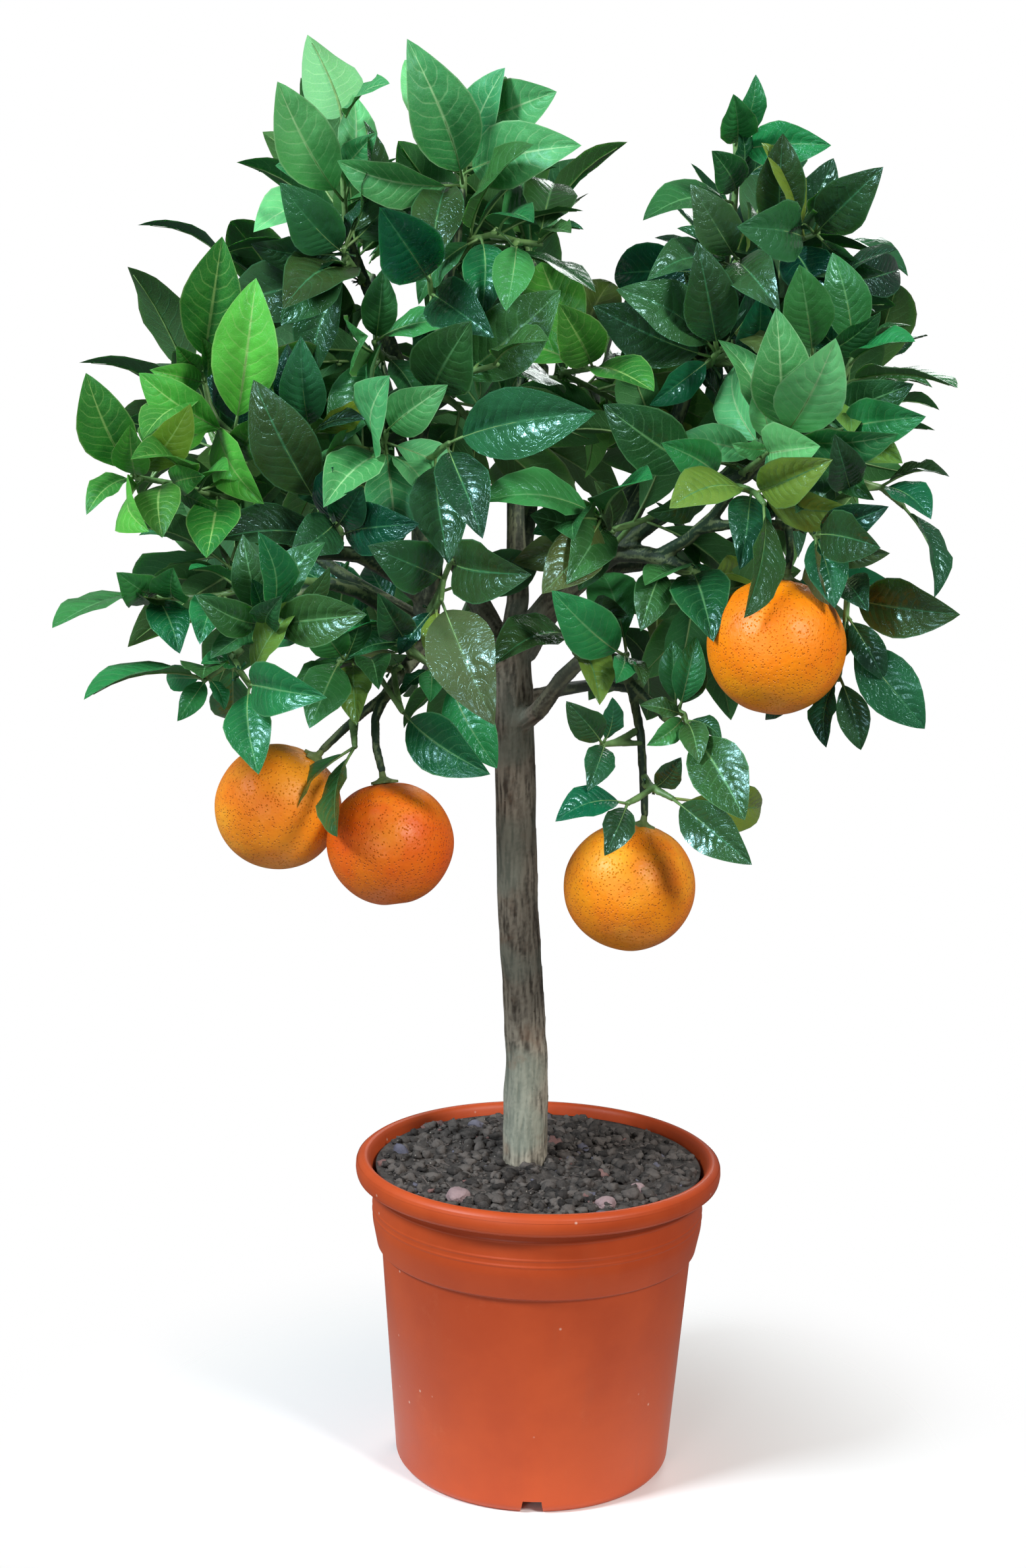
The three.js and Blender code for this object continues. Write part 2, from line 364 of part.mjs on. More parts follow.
// ---------------------------------------------------------------- solids
const flat = (v) => [v.x, v.y, v.z];

// A three.js geometry as a closed solid: shared corners merged, faces pointing out.
function solid(geometry) {
  const plain = geometry.index ? geometry.toNonIndexed() : geometry.clone();
  for (const name of Object.keys(plain.attributes)) {
    if (name !== 'position') plain.deleteAttribute(name);
  }
  const merged = mergeVertices(plain, 1e-4);
  const spots = merged.attributes.position;
  const corner = (k) => new THREE.Vector3().fromBufferAttribute(spots, k);
  const faces = [];
  let volume = 0;
  for (let k = 0; k < merged.index.count; k += 3) {
    const [a, b, c] = [0, 1, 2].map((n) => merged.index.getX(k + n));
    if (a === b || b === c || a === c) continue;
    faces.push([a, b, c]);
    volume += corner(a).dot(corner(b).cross(corner(c)));
  }
  const triVerts = new Uint32Array((volume > 0 ? faces : faces.map(([a, b, c]) => [a, c, b])).flat());
  const mesh = new wasm.Mesh({ numProp: 3, vertProperties: new Float32Array(spots.array), triVerts });
  return new wasm.Manifold(mesh);
}

// A solid as a named mesh with a material of its own.
function piece(name, body, colour, roughness) {
  const { numProp, vertProperties, triVerts } = body.getMesh();
  const geometry = new THREE.BufferGeometry();
  const spots = new Float32Array((vertProperties.length / numProp) * 3);
  for (let k = 0; k < spots.length / 3; k += 1) {
    spots.set(vertProperties.subarray(k * numProp, k * numProp + 3), k * 3);
  }
  geometry.setAttribute('position', new THREE.BufferAttribute(spots, 3));
  geometry.setIndex(new THREE.BufferAttribute(new Uint32Array(triVerts), 1));
  geometry.computeVertexNormals();
  const material = new THREE.MeshStandardMaterial({ color: colour, roughness, metalness: 0 });
  const mesh = new THREE.Mesh(geometry, material);
  mesh.name = name;
  return mesh;
}

const joined = (bodies) => bodies.reduce((whole, next) => whole.add(next));
const largest = (body) => body.decompose().reduce((best, next) => (next.volume() > best.volume() ? next : best));

// A place on the elevation, carried to its depth.
function place([x, z, y]) {
  const [dx, dz] = [x - LEAN.x, z - LEAN.z];
  const [c, s] = [Math.cos(LEAN.angle), Math.sin(LEAN.angle)];
  const drawn = new THREE.Vector3(LEAN.x + dx * c - dz * s, 0, LEAN.z + dx * s + dz * c);
  return drawn.sub(EYE).multiplyScalar((y - EYE.y) / -EYE.y).add(EYE);
}

// The smooth path through the drawn places, and the even steps along it that its tube follows.
function path(points, steps) {
  return { curve: new THREE.CatmullRomCurve3(points.map(place), false, 'centripetal'), steps };
}

// The place at a share of the way along the tube's straight steps.
function pointOn({ curve, steps }, t) {
  const row = Math.min(Math.floor(t * steps), steps - 1);
  return curve.getPointAt(row / steps).lerp(curve.getPointAt((row + 1) / steps), t * steps - row);
}

// A tapered tube with flat ends: a cylinder bent onto a path.
function tube({ curve, steps }, radii, sides) {
  const frames = curve.computeFrenetFrames(steps, false);
  const geometry = new THREE.CylinderGeometry(1, 1, 1, sides, steps);
  const spot = geometry.attributes.position;
  for (let k = 0; k < spot.count; k += 1) {
    const row = Math.round((spot.getY(k) + 0.5) * steps);
    const along = row / steps;
    const span = Math.min(Math.floor(along * (radii.length - 1)), radii.length - 2);
    const radius = THREE.MathUtils.lerp(radii[span], radii[span + 1], along * (radii.length - 1) - span);
    const moved = curve.getPointAt(along);
    moved.addScaledVector(frames.normals[row], spot.getX(k) * radius);
    moved.addScaledVector(frames.binormals[row], spot.getZ(k) * radius);
    spot.setXYZ(k, ...flat(moved));
  }
  return solid(geometry);
}

// ---------------------------------------------------------------- pot, soil and stones
function turned(outline, sides) {
  const geometry = new THREE.LatheGeometry(outline.map(([r, z]) => new THREE.Vector2(r, z)), sides);
  return geometry.rotateX(Math.PI / 2);
}

function insideOutline() {
  const { mouth, wall, floor, neck, foot } = POT;
  return [[0, 3], [26, 3], [30, floor + wall], [foot - 5, floor + wall], [neck - wall, 133],
    [mouth - 3.5, 150], [mouth - 2, 176], [mouth, 184]];
}

function pot() {
  const { height, rim, band, neck, foot, floor, mouth, sides } = POT;
  const outside = [[0, 0], [22, 0], [26, floor], [foot - 9, floor], [foot - 7, 0], [foot - 1, 0],
    [foot + 2.6, 4], [neck, 133], [neck + 2.6, 140], [band, 150], [band + 0.6, 176], [rim - 3, 178], [rim, 182.5],
    [rim - 2, 188], [rim - 6.5, height], [mouth + 1.2, height - 2.2]];
  let body = solid(turned([...outside, ...insideOutline().reverse()], sides));
  const shape = new THREE.Shape([[-NOTCH.bottom / 2, -1], [NOTCH.bottom / 2, -1], [NOTCH.top / 2, NOTCH.height],
    [-NOTCH.top / 2, NOTCH.height]].map(([x, z]) => new THREE.Vector2(x, z)));
  for (let k = 0; k < NOTCH.count; k += 1) {
    const notch = new THREE.ExtrudeGeometry(shape, { depth: 20, bevelEnabled: false });
    notch.rotateX(Math.PI / 2);
    notch.translate(0, -foot + 14, 0);
    notch.rotateZ((k / NOTCH.count) * 2 * Math.PI);
    body = body.subtract(solid(notch));
  }
  for (let k = 0; k < DRAIN.count; k += 1) {
    const hole = new THREE.CylinderGeometry(DRAIN.radius, DRAIN.radius, 12, 12);
    hole.rotateX(Math.PI / 2).translate(DRAIN.ring, 0, floor);
    hole.rotateZ(((k + 0.5) / DRAIN.count) * 2 * Math.PI);
    body = body.subtract(solid(hole));
  }
  return body;
}

// Height of the soil at a place: a low mound at the trunk and a slow ripple.
function soilHeight(x, y) {
  const ripple = Math.sin(x / 9 + 1.3) * Math.cos(y / 11) + 0.6 * Math.sin((x + y) / 6);
  return SOIL.top + SOIL.ripple * ripple + SOIL.mound * Math.exp(-(x * x + y * y) / 700);
}

function soil(wood, stones) {
  const wall = insideOutline().slice(0, -1).map(([r, z], k) => [Math.max(r - (k > 0 ? GAP * 1.4 : 0), 0), z + GAP]);
  const edge = POT.mouth - 2.2;
  const rings = [0.95, 0.75, 0.52, 0.28, 0].map((f) => [edge * f, SOIL.top]);
  const geometry = turned([...wall, [edge, SOIL.top - 2], ...rings], 24);
  const spot = geometry.attributes.position;
  for (let k = 0; k < spot.count; k += 1) {
    if (spot.getZ(k) > SOIL.top - 0.5) spot.setZ(k, soilHeight(spot.getX(k), spot.getY(k)));
  }
  return stones.reduce((body, stone) => body.subtract(stone), solid(geometry).subtract(wood));
}

function stone([x, y, radii], grow) {
  const geometry = new THREE.DodecahedronGeometry(1, 0);
  geometry.scale(...radii.map((r) => r + grow));
  geometry.rotateZ(x);
  return solid(geometry.translate(x, y, soilHeight(x, y) + radii[2] * 0.35));
}

// ---------------------------------------------------------------- fruits
function fruitFrame({ towards, stalk, along }) {
  const end = place(stalk);
  const up = end.clone().sub(place(towards)).normalize();
  const middle = end.addScaledVector(up, -(along + CALYX.height + 2 * GAP));
  return { middle, turn: new THREE.Quaternion().setFromUnitVectors(new THREE.Vector3(0, 0, 1), up) };
}

// Flattened a little at both ends, with the stalk end drawn in.
function fruit(row, grow = 0) {
  const geometry = new THREE.IcosahedronGeometry(1, 2);
  geometry.scale(row.across + grow, row.across + grow, row.along + grow);
  const { middle, turn } = fruitFrame(row);
  return solid(geometry.applyQuaternion(turn).translate(...flat(middle)));
}

function calyx(row, grow = 0) {
  const { radius, height } = CALYX;
  const outline = [[0, 0], [radius, 0.3], [radius * 0.8, 1.4], [2.9, height], [0, height]];
  const geometry = turned(outline, 10);
  const spot = geometry.attributes.position;
  for (let k = 0; k < spot.count; k += 1) {
    const lobe = 1 + 0.14 * Math.cos(5 * Math.atan2(spot.getY(k), spot.getX(k)));
    spot.setXY(k, spot.getX(k) * lobe, spot.getY(k) * lobe);
  }
  const { middle, turn } = fruitFrame(row);
  const swell = 1 + grow / CALYX.radius;
  geometry.scale(swell, swell, 1 + grow / CALYX.height).translate(0, 0, row.along + GAP).applyQuaternion(turn);
  return solid(geometry.translate(...flat(middle)));
}

// ---------------------------------------------------------------- wood
function limb(points, grow = 0) {
  const sides = points[0][3] > 7.5 ? 9 : 6;
  const radii = points.map((p) => p[3] + grow);
  return tube(path(points, Math.max(3, Math.round((points.length - 1) * 1.3))), radii, sides);
}

// ---------------------------------------------------------------- leaves
const FACING = { f: [0, -1, 0], b: [0, 1, 0], u: [0, 0, 1], d: [0, 0, -1], l: [-1, 0, 0], r: [1, 0, 0] };

function facing(letters) {
  const sum = new THREE.Vector3();
  for (const letter of letters) sum.add(new THREE.Vector3(...FACING[letter]));
  return sum.normalize();
}

// Stations of a leaf from foot to tip, each a share of its length and a share of its half width. The plain one is
// built; the full one follows the rounded edge of the real leaf and only keeps room for it.
const PLAIN = [[0, 0], [LEAF.stalk, 0], [0.5, 1], [1, 0]];
const FULL = [[0, 0], [LEAF.stalk, 0], [0.3, 0.86], [0.5, 1], [0.72, 0.8], [0.9, 0.36], [1, 0]];

// A leaf is a bent, folded blade on a stalk. Each station has a left and right edge, a midrib above and a midrib
// below. grow gives the same leaf with clearance round it; from leaves out the first share of its length.
function leaf({ base, tip, look }, stations, grow = 0, from = 0) {
  const along = tip.clone().sub(base);
  const length = along.length();
  along.normalize();
  const up = look.clone().addScaledVector(along, -look.dot(along)).normalize();
  const side = along.clone().cross(up);
  const last = stations.length - 1;
  const geometry = new THREE.CylinderGeometry(0, 0, 1, 4, last, true);
  const spot = geometry.attributes.position;
  const share = geometry.attributes.uv;
  for (let k = 0; k < spot.count; k += 1) {
    const station = Math.round(share.getY(k) * last);
    const corner = Math.round(share.getX(k) * 4) % 4;
    const [at, wide] = stations[station];
    const reach = Math.max(at, from) * length + (station === last ? grow : 0);
    const arch = LEAF.arch * length * 4 * at * (1 - at);
    const moved = base.clone().addScaledVector(along, reach).addScaledVector(up, arch);
    if (station > 0 && station < last) {
      const half = wide ? (wide * length * LEAF.width) / 2 : LEAF.stalkRadius;
      const across = [-1, 0, 1, 0][corner] * (half + grow);
      const rise = [0, 1, 0, -1][corner] * ((wide ? LEAF.thick / 2 : LEAF.stalkRadius) + grow);
      const lift = wide ? Math.abs(across) * Math.sin(LEAF.fold) : 0;
      moved.addScaledVector(side, across * Math.cos(LEAF.fold)).addScaledVector(up, rise + lift);
    }
    spot.setXYZ(k, ...flat(moved));
  }
  return solid(geometry);
}

// The leaf's tip, at the depth that gives the leaf its natural length.
function tipOf(base, x, z, way, size) {
  const length = LEAF.length * size;
  let [near, far] = [0, length];
  for (let k = 0; k < 20; k += 1) {
    const depth = (near + far) / 2;
    if (place([x, z, base.y + way * depth]).distanceTo(base) < length) near = depth;
    else far = depth;
  }
  return place([x, z, base.y + way * near]);
}

// The leaves that a whorl puts round its twig, a golden turn apart, from near its foot to its end.
function whorl(route, count, seed) {
  const leaves = [];
  for (let k = 0; k < count; k += 1) {
    const t = 0.22 + (0.74 * k) / (count - 1);
    const along = route.curve.getTangentAt(t);
    const out = new THREE.Vector3(0, 0, 1).cross(along).normalize();
    out.applyAxisAngle(along, seed + k * 2.399);
    const spread = THREE.MathUtils.degToRad(k === count - 1 ? 12 : 62 - 20 * t);
    const heading = along.clone().multiplyScalar(Math.cos(spread)).addScaledVector(out, Math.sin(spread));
    const length = LEAF.length * (0.86 + 0.2 * Math.sin(seed * 5 + k * 2.1));
    const base = pointOn(route, t);
    const look = along.clone().multiplyScalar(1.1).add(new THREE.Vector3(0, 0, 0.9)).addScaledVector(out, -0.2);
    leaves.push({ base, tip: base.clone().addScaledVector(heading, length), look: look.normalize() });
  }
  return leaves;
}

// ---------------------------------------------------------------- keeping pieces apart
const taken = [];                     // every solid so far, with its bounds and the shoot that it belongs to

function bounds(body) {
  const { min, max } = body.boundingBox();
  return new THREE.Box3(new THREE.Vector3(...min), new THREE.Vector3(...max));
}

function take(body, owner) {
  taken.push({ body, owner, box: bounds(body) });
}

function clear(body, keep) {
  const box = bounds(body);
  return !taken.some((other) => keep(other) && box.intersectsBox(other.box)
    && body.intersect(other.body).numTri() > 0);
}

// A leaf swung about its base in small steps, and then shortened, until it is clear of everything else.
function settled(start, owner) {
  const along = start.tip.clone().sub(start.base).normalize();
  const side = along.clone().cross(start.look).normalize();
  for (const scale of [1, 0.9, 0.78]) {
    for (let ring = 0; ring <= 7; ring += 1) {
      const turns = ring === 0 ? 1 : 8;
      for (let k = 0; k < turns; k += 1) {
        const swing = THREE.MathUtils.degToRad(ring * 4.5);
        const course = (k / turns) * 2 * Math.PI;
        const axis = side.clone().multiplyScalar(Math.cos(course)).addScaledVector(start.look, Math.sin(course));
        const turn = new THREE.Quaternion().setFromAxisAngle(axis.normalize(), swing);
        const arm = start.tip.clone().sub(start.base).multiplyScalar(scale).applyQuaternion(turn);
        const trial = { base: start.base, tip: start.base.clone().add(arm), look: start.look.clone().applyQuaternion(turn) };
        const others = (other) => other.owner !== owner;
        const own = (other) => other.owner === owner;
        if (clear(leaf(trial, PLAIN, GAP), others) && clear(leaf(trial, FULL), others)
          && clear(leaf(trial, PLAIN, GAP, 0.17), own) && clear(leaf(trial, FULL, 0, 0.17), own)) return trial;
      }
    }
  }
  return null;
}

// ---------------------------------------------------------------- the assembly
const group = new THREE.Group();
const sockets = joined(FRUITS.map((row) => calyx(row, GAP)));
const wood = largest(joined(LIMBS.map((points) => limb(points))).subtract(sockets));
const woodRoom = joined(LIMBS.map((points) => limb(points, GAP)));
const stones = STONES.map((row) => stone(row, 0));

group.add(piece('pot', pot(), 0xc85830, 0.62));
group.add(piece('soil', soil(woodRoom, STONES.map((row) => stone(row, GAP))), 0x3a3029, 0.95));
stones.forEach((body, k) => group.add(piece(`stone_${k + 1}`, body, 0x9a8480, 0.8)));
group.add(piece('trunk_and_limbs', wood, 0x6d6a4c, 0.85));
take(woodRoom, 'wood');

FRUITS.forEach((row, k) => {
  group.add(piece(`orange_${k + 1}`, fruit(row), 0xf08a1e, 0.42));
  group.add(piece(`calyx_${k + 1}`, calyx(row), 0x6f8a3a, 0.6));
  take(fruit(row, GAP), 'fruit');
  take(calyx(row), 'fruit');
});

const shoots = Object.entries(SHOOTS).map(([name, [tone, twigs]]) => ({ name, tone, twigs, parts: [] }));
for (const shoot of shoots) {
  for (const twig of shoot.twigs) {
    const radii = [twig.radius ?? TWIG.start, TWIG.end];
    twig.route = path(twig.path, twig.path.length);
    shoot.parts.push(largest(tube(twig.route, radii, TWIG.sides).subtract(woodRoom)));
    take(tube(twig.route, radii.map((r) => r + GAP), TWIG.sides), shoot.name);
  }
}
shoots.forEach((shoot, number) => {
  for (const { route, leaves, whorl: count } of shoot.twigs) {
    const wanted = count ? whorl(route, count, number) : leaves.map(([t, x, z, way, letters, size = 1]) => {
      const base = pointOn(route, Math.min(t, 0.96));
      return { base, tip: tipOf(base, x, z, way, size), look: facing(letters) };
    });
    for (const start of wanted) {
      const found = settled(start, shoot.name);
      if (!found) continue;
      take(leaf(found, PLAIN), shoot.name);
      take(leaf(found, FULL, 0, LEAF.stalk), shoot.name);
      shoot.parts.push(leaf(found, PLAIN));
    }
  }
  group.add(piece(shoot.name, joined(shoot.parts), ...TONES[shoot.tone]));
});

export default group;
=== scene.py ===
"""Young orange tree in a moulded nursery pot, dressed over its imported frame.

Every piece takes its place from the frame. Metres, +Z up, the tree's face towards -Y.
"""
import json
import logging
import math
import random
import time
from collections.abc import Callable, Iterable
from dataclasses import dataclass, field
from enum import Enum
from functools import cached_property

import bmesh
import bpy
import numpy as np
from mathutils import Matrix, Vector, kdtree, noise


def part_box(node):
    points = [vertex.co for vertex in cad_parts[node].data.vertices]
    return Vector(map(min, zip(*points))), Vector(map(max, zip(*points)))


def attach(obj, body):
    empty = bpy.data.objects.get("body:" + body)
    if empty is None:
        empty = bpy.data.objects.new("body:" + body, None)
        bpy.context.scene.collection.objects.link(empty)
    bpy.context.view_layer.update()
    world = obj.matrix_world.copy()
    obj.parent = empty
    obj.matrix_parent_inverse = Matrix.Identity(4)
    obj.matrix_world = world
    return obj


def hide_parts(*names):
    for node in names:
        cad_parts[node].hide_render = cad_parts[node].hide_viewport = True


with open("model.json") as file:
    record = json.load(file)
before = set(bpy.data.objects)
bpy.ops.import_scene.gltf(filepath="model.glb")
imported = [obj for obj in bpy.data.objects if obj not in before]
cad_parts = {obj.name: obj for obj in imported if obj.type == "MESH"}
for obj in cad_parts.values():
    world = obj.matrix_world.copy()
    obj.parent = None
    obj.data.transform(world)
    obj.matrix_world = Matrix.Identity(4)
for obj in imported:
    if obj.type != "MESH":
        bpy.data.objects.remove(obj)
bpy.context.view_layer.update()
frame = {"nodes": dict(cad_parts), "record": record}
MM = 0.001
ROOT = "root"
STARTED = time.perf_counter()
log = logging.getLogger("orange_tree")

Colour = tuple[float, float, float]
Socket = bpy.types.NodeSocket


# ---------------------------------------------------------------- wiring of materials
class Wiring:
    """Adds nodes to one node tree and joins them."""

    def __init__(self, tree: bpy.types.NodeTree) -> None:
        """Keeps the tree that is wired."""
        self.tree = tree

    def add(self, kind: str, values: dict | None = None, **settings: object) -> bpy.types.Node:
        """Adds one node.

        Args:
            kind: The node's type.
            values: Its inputs by name or number, each a plain value or another node's output.
            settings: Its other properties.

        Returns:
            The node.
        """
        node = self.tree.nodes.new(kind)
        for name, setting in settings.items():
            setattr(node, name, setting)
        for name, value in (values or {}).items():
            if isinstance(value, Socket):
                self.tree.links.new(value, node.inputs[name])
            else:
                node.inputs[name].default_value = value
        return node

    def math(self, operation: str, *values: float | Socket, clamp: bool = False) -> Socket:
        """The result of a sum on one or two values."""
        inputs = dict(enumerate(values))
        return self.add("ShaderNodeMath", inputs, operation=operation, use_clamp=clamp).outputs[0]

    def times(self, first: float | Socket, second: float | Socket, clamp: bool = False) -> Socket:
        """Two values multiplied."""
        return self.math("MULTIPLY", first, second, clamp=clamp)

    def plus(self, first: float | Socket, second: float | Socket, clamp: bool = False) -> Socket:
        """Two values added."""
        return self.math("ADD", first, second, clamp=clamp)

    def swing(self, value: Socket, amount: float) -> Socket:
        """A value from 0 to 1 as a swing to both sides of 0."""
        return self.times(self.math("SUBTRACT", value, 0.5), amount)

    def blend(self, share: float | Socket, first: Colour | Socket, second: Colour | Socket) -> Socket:
        """Two colours blended by a share, which is 0 for the first and 1 for the second."""
        pair = [(*c, 1.0) if isinstance(c, tuple) else c for c in (first, second)]
        return self.add("ShaderNodeMix", {0: share, 6: pair[0], 7: pair[1]}, data_type="RGBA").outputs[2]

    def fade(self, value: Socket, low: float, high: float, start: float = 0.0, end: float = 1.0) -> Socket:
        """A value eased from start to end as it goes from low to high."""
        values = {0: value, 1: low, 2: high, 3: start, 4: end}
        return self.add("ShaderNodeMapRange", values, interpolation_type="SMOOTHSTEP").outputs[0]

    def noise(self, place: Socket, scale: float, detail: float = 3.0, roughness: float = 0.55) -> Socket:
        """Soft noise from 0 to 1 at a place."""
        values = {"Vector": place, "Scale": scale, "Detail": detail, "Roughness": roughness}
        return self.add("ShaderNodeTexNoise", values).outputs[0]

    def stretched(self, place: Socket, scale: Colour) -> Socket:
        """A place scaled by its own amount along each axis."""
        return self.add("ShaderNodeMapping", {"Vector": place, "Scale": scale}).outputs[0]

    def split(self, colour: Socket) -> list[Socket]:
        """The three channels of a colour."""
        return list(self.add("ShaderNodeSeparateColor", {0: colour}).outputs)[:3]

    def attribute(self, name: str) -> list[Socket]:
        """The three channels of a mesh's colour attribute."""
        return self.split(self.add("ShaderNodeAttribute", attribute_name=name).outputs["Color"])

    def bump(self, height: Socket, strength: float, distance: float) -> Socket:
        """A normal pushed about by a height in metres."""
        values = {"Strength": strength, "Distance": distance, "Height": height}
        return self.add("ShaderNodeBump", values).outputs[0]

    def place(self) -> Socket:
        """The object's own coordinates."""
        return self.add("ShaderNodeTexCoord").outputs["Object"]


def new_group(name: str, inputs: dict[str, float], outputs: Iterable[str]) -> tuple:
    """Starts a shared node group with number sockets.

    Args:
        name: The group's name.
        inputs: Its inputs with their usual values.
        outputs: Its outputs.

    Returns:
        The group, its wiring, its input node and its output node.
    """
    tree = bpy.data.node_groups.new(name, "ShaderNodeTree")
    for label, value in inputs.items():
        socket = tree.interface.new_socket(name=label, in_out="INPUT", socket_type="NodeSocketFloat")
        socket.default_value = value
    for label in outputs:
        tree.interface.new_socket(name=label, in_out="OUTPUT", socket_type="NodeSocketFloat")
    wiring = Wiring(tree)
    return tree, wiring, wiring.add("NodeGroupInput"), wiring.add("NodeGroupOutput")


def vein_group() -> bpy.types.NodeTree:
    """The veins of a leaf over its UV map: midrib, side veins, fine net, edge and quilted height."""
    tree, w, given, out = new_group(
        "leaf_veins", {"Pairs": 10.0, "Slant": 2.1}, ("Midrib", "Side", "Net", "Edge", "Height")
    )
    uv = w.add("ShaderNodeTexCoord").outputs["UV"]
    wander = w.swing(w.noise(uv, 5.0, 2.0), 0.06)
    across, along, _ = w.add("ShaderNodeSeparateXYZ", {0: uv}).outputs
    reach = w.times(w.math("ABSOLUTE", w.math("SUBTRACT", across, 0.5)), 2.0)
    rib = w.plus(0.035, w.times(w.math("SUBTRACT", 1.0, along), 0.05))
    midrib = w.math("SUBTRACT", 1.0, w.math("DIVIDE", reach, rib), clamp=True)
    rise = w.times(w.math("POWER", reach, 1.1), given.outputs["Slant"])
    course = w.math("SUBTRACT", w.times(w.plus(along, wander), given.outputs["Pairs"]), rise)
    gap = w.times(w.math("PINGPONG", course, 0.5), 2.0)
    side = w.times(w.fade(gap, 0.2, 0.0), w.fade(reach, 1.0, 0.6))
    cells = w.add("ShaderNodeTexVoronoi", {"Vector": w.stretched(uv, (9.0, 22.0, 1.0)), "Scale": 1.6},
                  feature="DISTANCE_TO_EDGE").outputs[0]
    net = w.fade(cells, 0.09, 0.0)
    pillow = w.times(w.math("POWER", gap, 0.6), w.fade(reach, 1.0, 0.3))
    height = w.math("SUBTRACT", pillow, w.times(net, 0.16))
    edge = w.fade(reach, 0.93, 0.99)
    results = {"Midrib": midrib, "Side": side, "Net": net, "Edge": edge, "Height": height}
    for name, value in results.items():
        w.tree.links.new(value, out.inputs[name])
    return tree


def speck_group() -> bpy.types.NodeTree:
    """Small scattered specks over the object's coordinates, such as dust, splashes and pale glands."""
    tree, w, given, out = new_group("specks", {"Scale": 300.0, "Size": 0.12, "Share": 0.2}, ("Specks",))
    cells = w.add("ShaderNodeTexVoronoi", {"Vector": w.place(), "Scale": given.outputs["Scale"]})
    chosen = w.math("LESS_THAN", w.split(cells.outputs["Color"])[0], given.outputs["Share"])
    off = w.math("DIVIDE", cells.outputs["Distance"], given.outputs["Size"])
    near = w.math("SUBTRACT", 1.0, off, clamp=True)
    w.tree.links.new(w.times(chosen, near, clamp=True), out.inputs["Specks"])
    return tree


VEINS = vein_group()
SPECKS = speck_group()


def specks(w: Wiring, scale: float, share: float, size: float) -> Socket:
    """Specks of a size in a share of the cells of a scale."""
    values = {"Scale": scale, "Share": share, "Size": size}
    return w.add("ShaderNodeGroup", values, node_tree=SPECKS).outputs[0]


def new_material(name: str) -> tuple[bpy.types.Material, Wiring, bpy.types.Node]:
    """A material with its wiring and its Principled shader."""
    material = bpy.data.materials.new(name)
    material.use_nodes = True
    return material, Wiring(material.node_tree), material.node_tree.nodes["Principled BSDF"]


def connect(w: Wiring, shader: bpy.types.Node, sockets: dict[str, object]) -> None:
    """Sets the shader's sockets, each to a plain value or to an output."""
    for name, value in sockets.items():
        socket = shader.inputs[name]
        if isinstance(value, Socket):
            w.tree.links.new(value, socket)
        else:
            socket.default_value = (*value, 1.0) if socket.type == "RGBA" else value


# ---------------------------------------------------------------- finishes
@dataclass(frozen=True)
class LeafFinish:
    """The colours and gloss of one age of leaf."""

    slot: str
    deep: Colour
    face: Colour
    vein: Colour
    under: Colour
    roughness: float
    gloss: float
    vein_show: float
    relief: float

    def upper(self) -> bpy.types.Material:
        """The glossy upper face, quilted between its side veins."""
        material, w, shader = new_material(f"{self.slot}_upper")
        veins = w.add("ShaderNodeGroup", node_tree=VEINS).outputs
        dust = specks(w, 360.0, 0.04, 0.14)
        light, yellow, dry = w.attribute("leaf_tint")
        patchy = w.noise(w.place(), 55.0, 4.0)
        shade = w.plus(light, w.swing(patchy, 0.7), clamp=True)
        colour = w.blend(shade, self.deep, self.face)
        colour = w.blend(yellow, colour, (0.30, 0.42, 0.03))
        colour = w.blend(w.times(veins["Side"], self.vein_show), colour, self.vein)
        colour = w.blend(w.times(veins["Net"], 0.3 * self.vein_show), colour, self.vein)
        colour = w.blend(w.times(veins["Midrib"], 0.85), colour, self.vein)
        colour = w.blend(w.times(veins["Edge"], 0.35), colour, self.vein)
        colour = w.blend(dry, colour, (0.16, 0.10, 0.03))
        colour = w.blend(w.times(dust, 0.4), colour, (0.50, 0.66, 0.46))
        rough = w.plus(self.roughness, w.swing(patchy, 0.16))
        rough = w.plus(rough, w.times(dust, 0.3), clamp=True)
        fine = w.times(w.noise(w.place(), 900.0, 2.0), 0.05)
        quilt = w.times(veins["Height"], self.relief)
        broad = w.times(w.noise(w.place(), 62.0, 2.0), 1.5)
        connect(w, shader, {
            "Base Color": colour, "Roughness": rough, "Specular IOR Level": self.gloss,
            "Specular Tint": (0.50, 0.84, 0.90), "Subsurface Weight": 0.08, "Subsurface Scale": 0.002,
            "Subsurface Radius": (0.4, 1.0, 0.2),
            "Normal": w.bump(w.plus(quilt, w.plus(broad, fine)), 0.9, 0.0014),
        })
        return material

    def lower(self) -> bpy.types.Material:
        """The paler, duller under face, with its veins standing up."""
        material, w, shader = new_material(f"{self.slot}_under")
        veins = w.add("ShaderNodeGroup", node_tree=VEINS).outputs
        light, yellow, _ = w.attribute("leaf_tint")
        patchy = w.noise(w.place(), 70.0, 4.0)
        shade = w.plus(light, w.swing(patchy, 0.6), clamp=True)
        colour = w.blend(w.times(shade, 0.45), self.under, self.face)
        colour = w.blend(yellow, colour, (0.32, 0.40, 0.05))
        lines = w.plus(w.times(veins["Side"], 0.5), w.times(veins["Net"], 0.25))
        lines = w.plus(lines, veins["Midrib"], clamp=True)
        colour = w.blend(w.times(lines, 0.5), colour, self.vein)
        height = w.plus(lines, w.times(w.noise(w.place(), 800.0, 2.0), 0.2))
        connect(w, shader, {
            "Base Color": colour, "Roughness": 0.6, "Specular IOR Level": 0.2,
            "Subsurface Weight": 0.15, "Subsurface Scale": 0.002, "Subsurface Radius": (0.4, 1.0, 0.2),
            "Normal": w.bump(height, 0.35, 0.0006),
        })
        return material


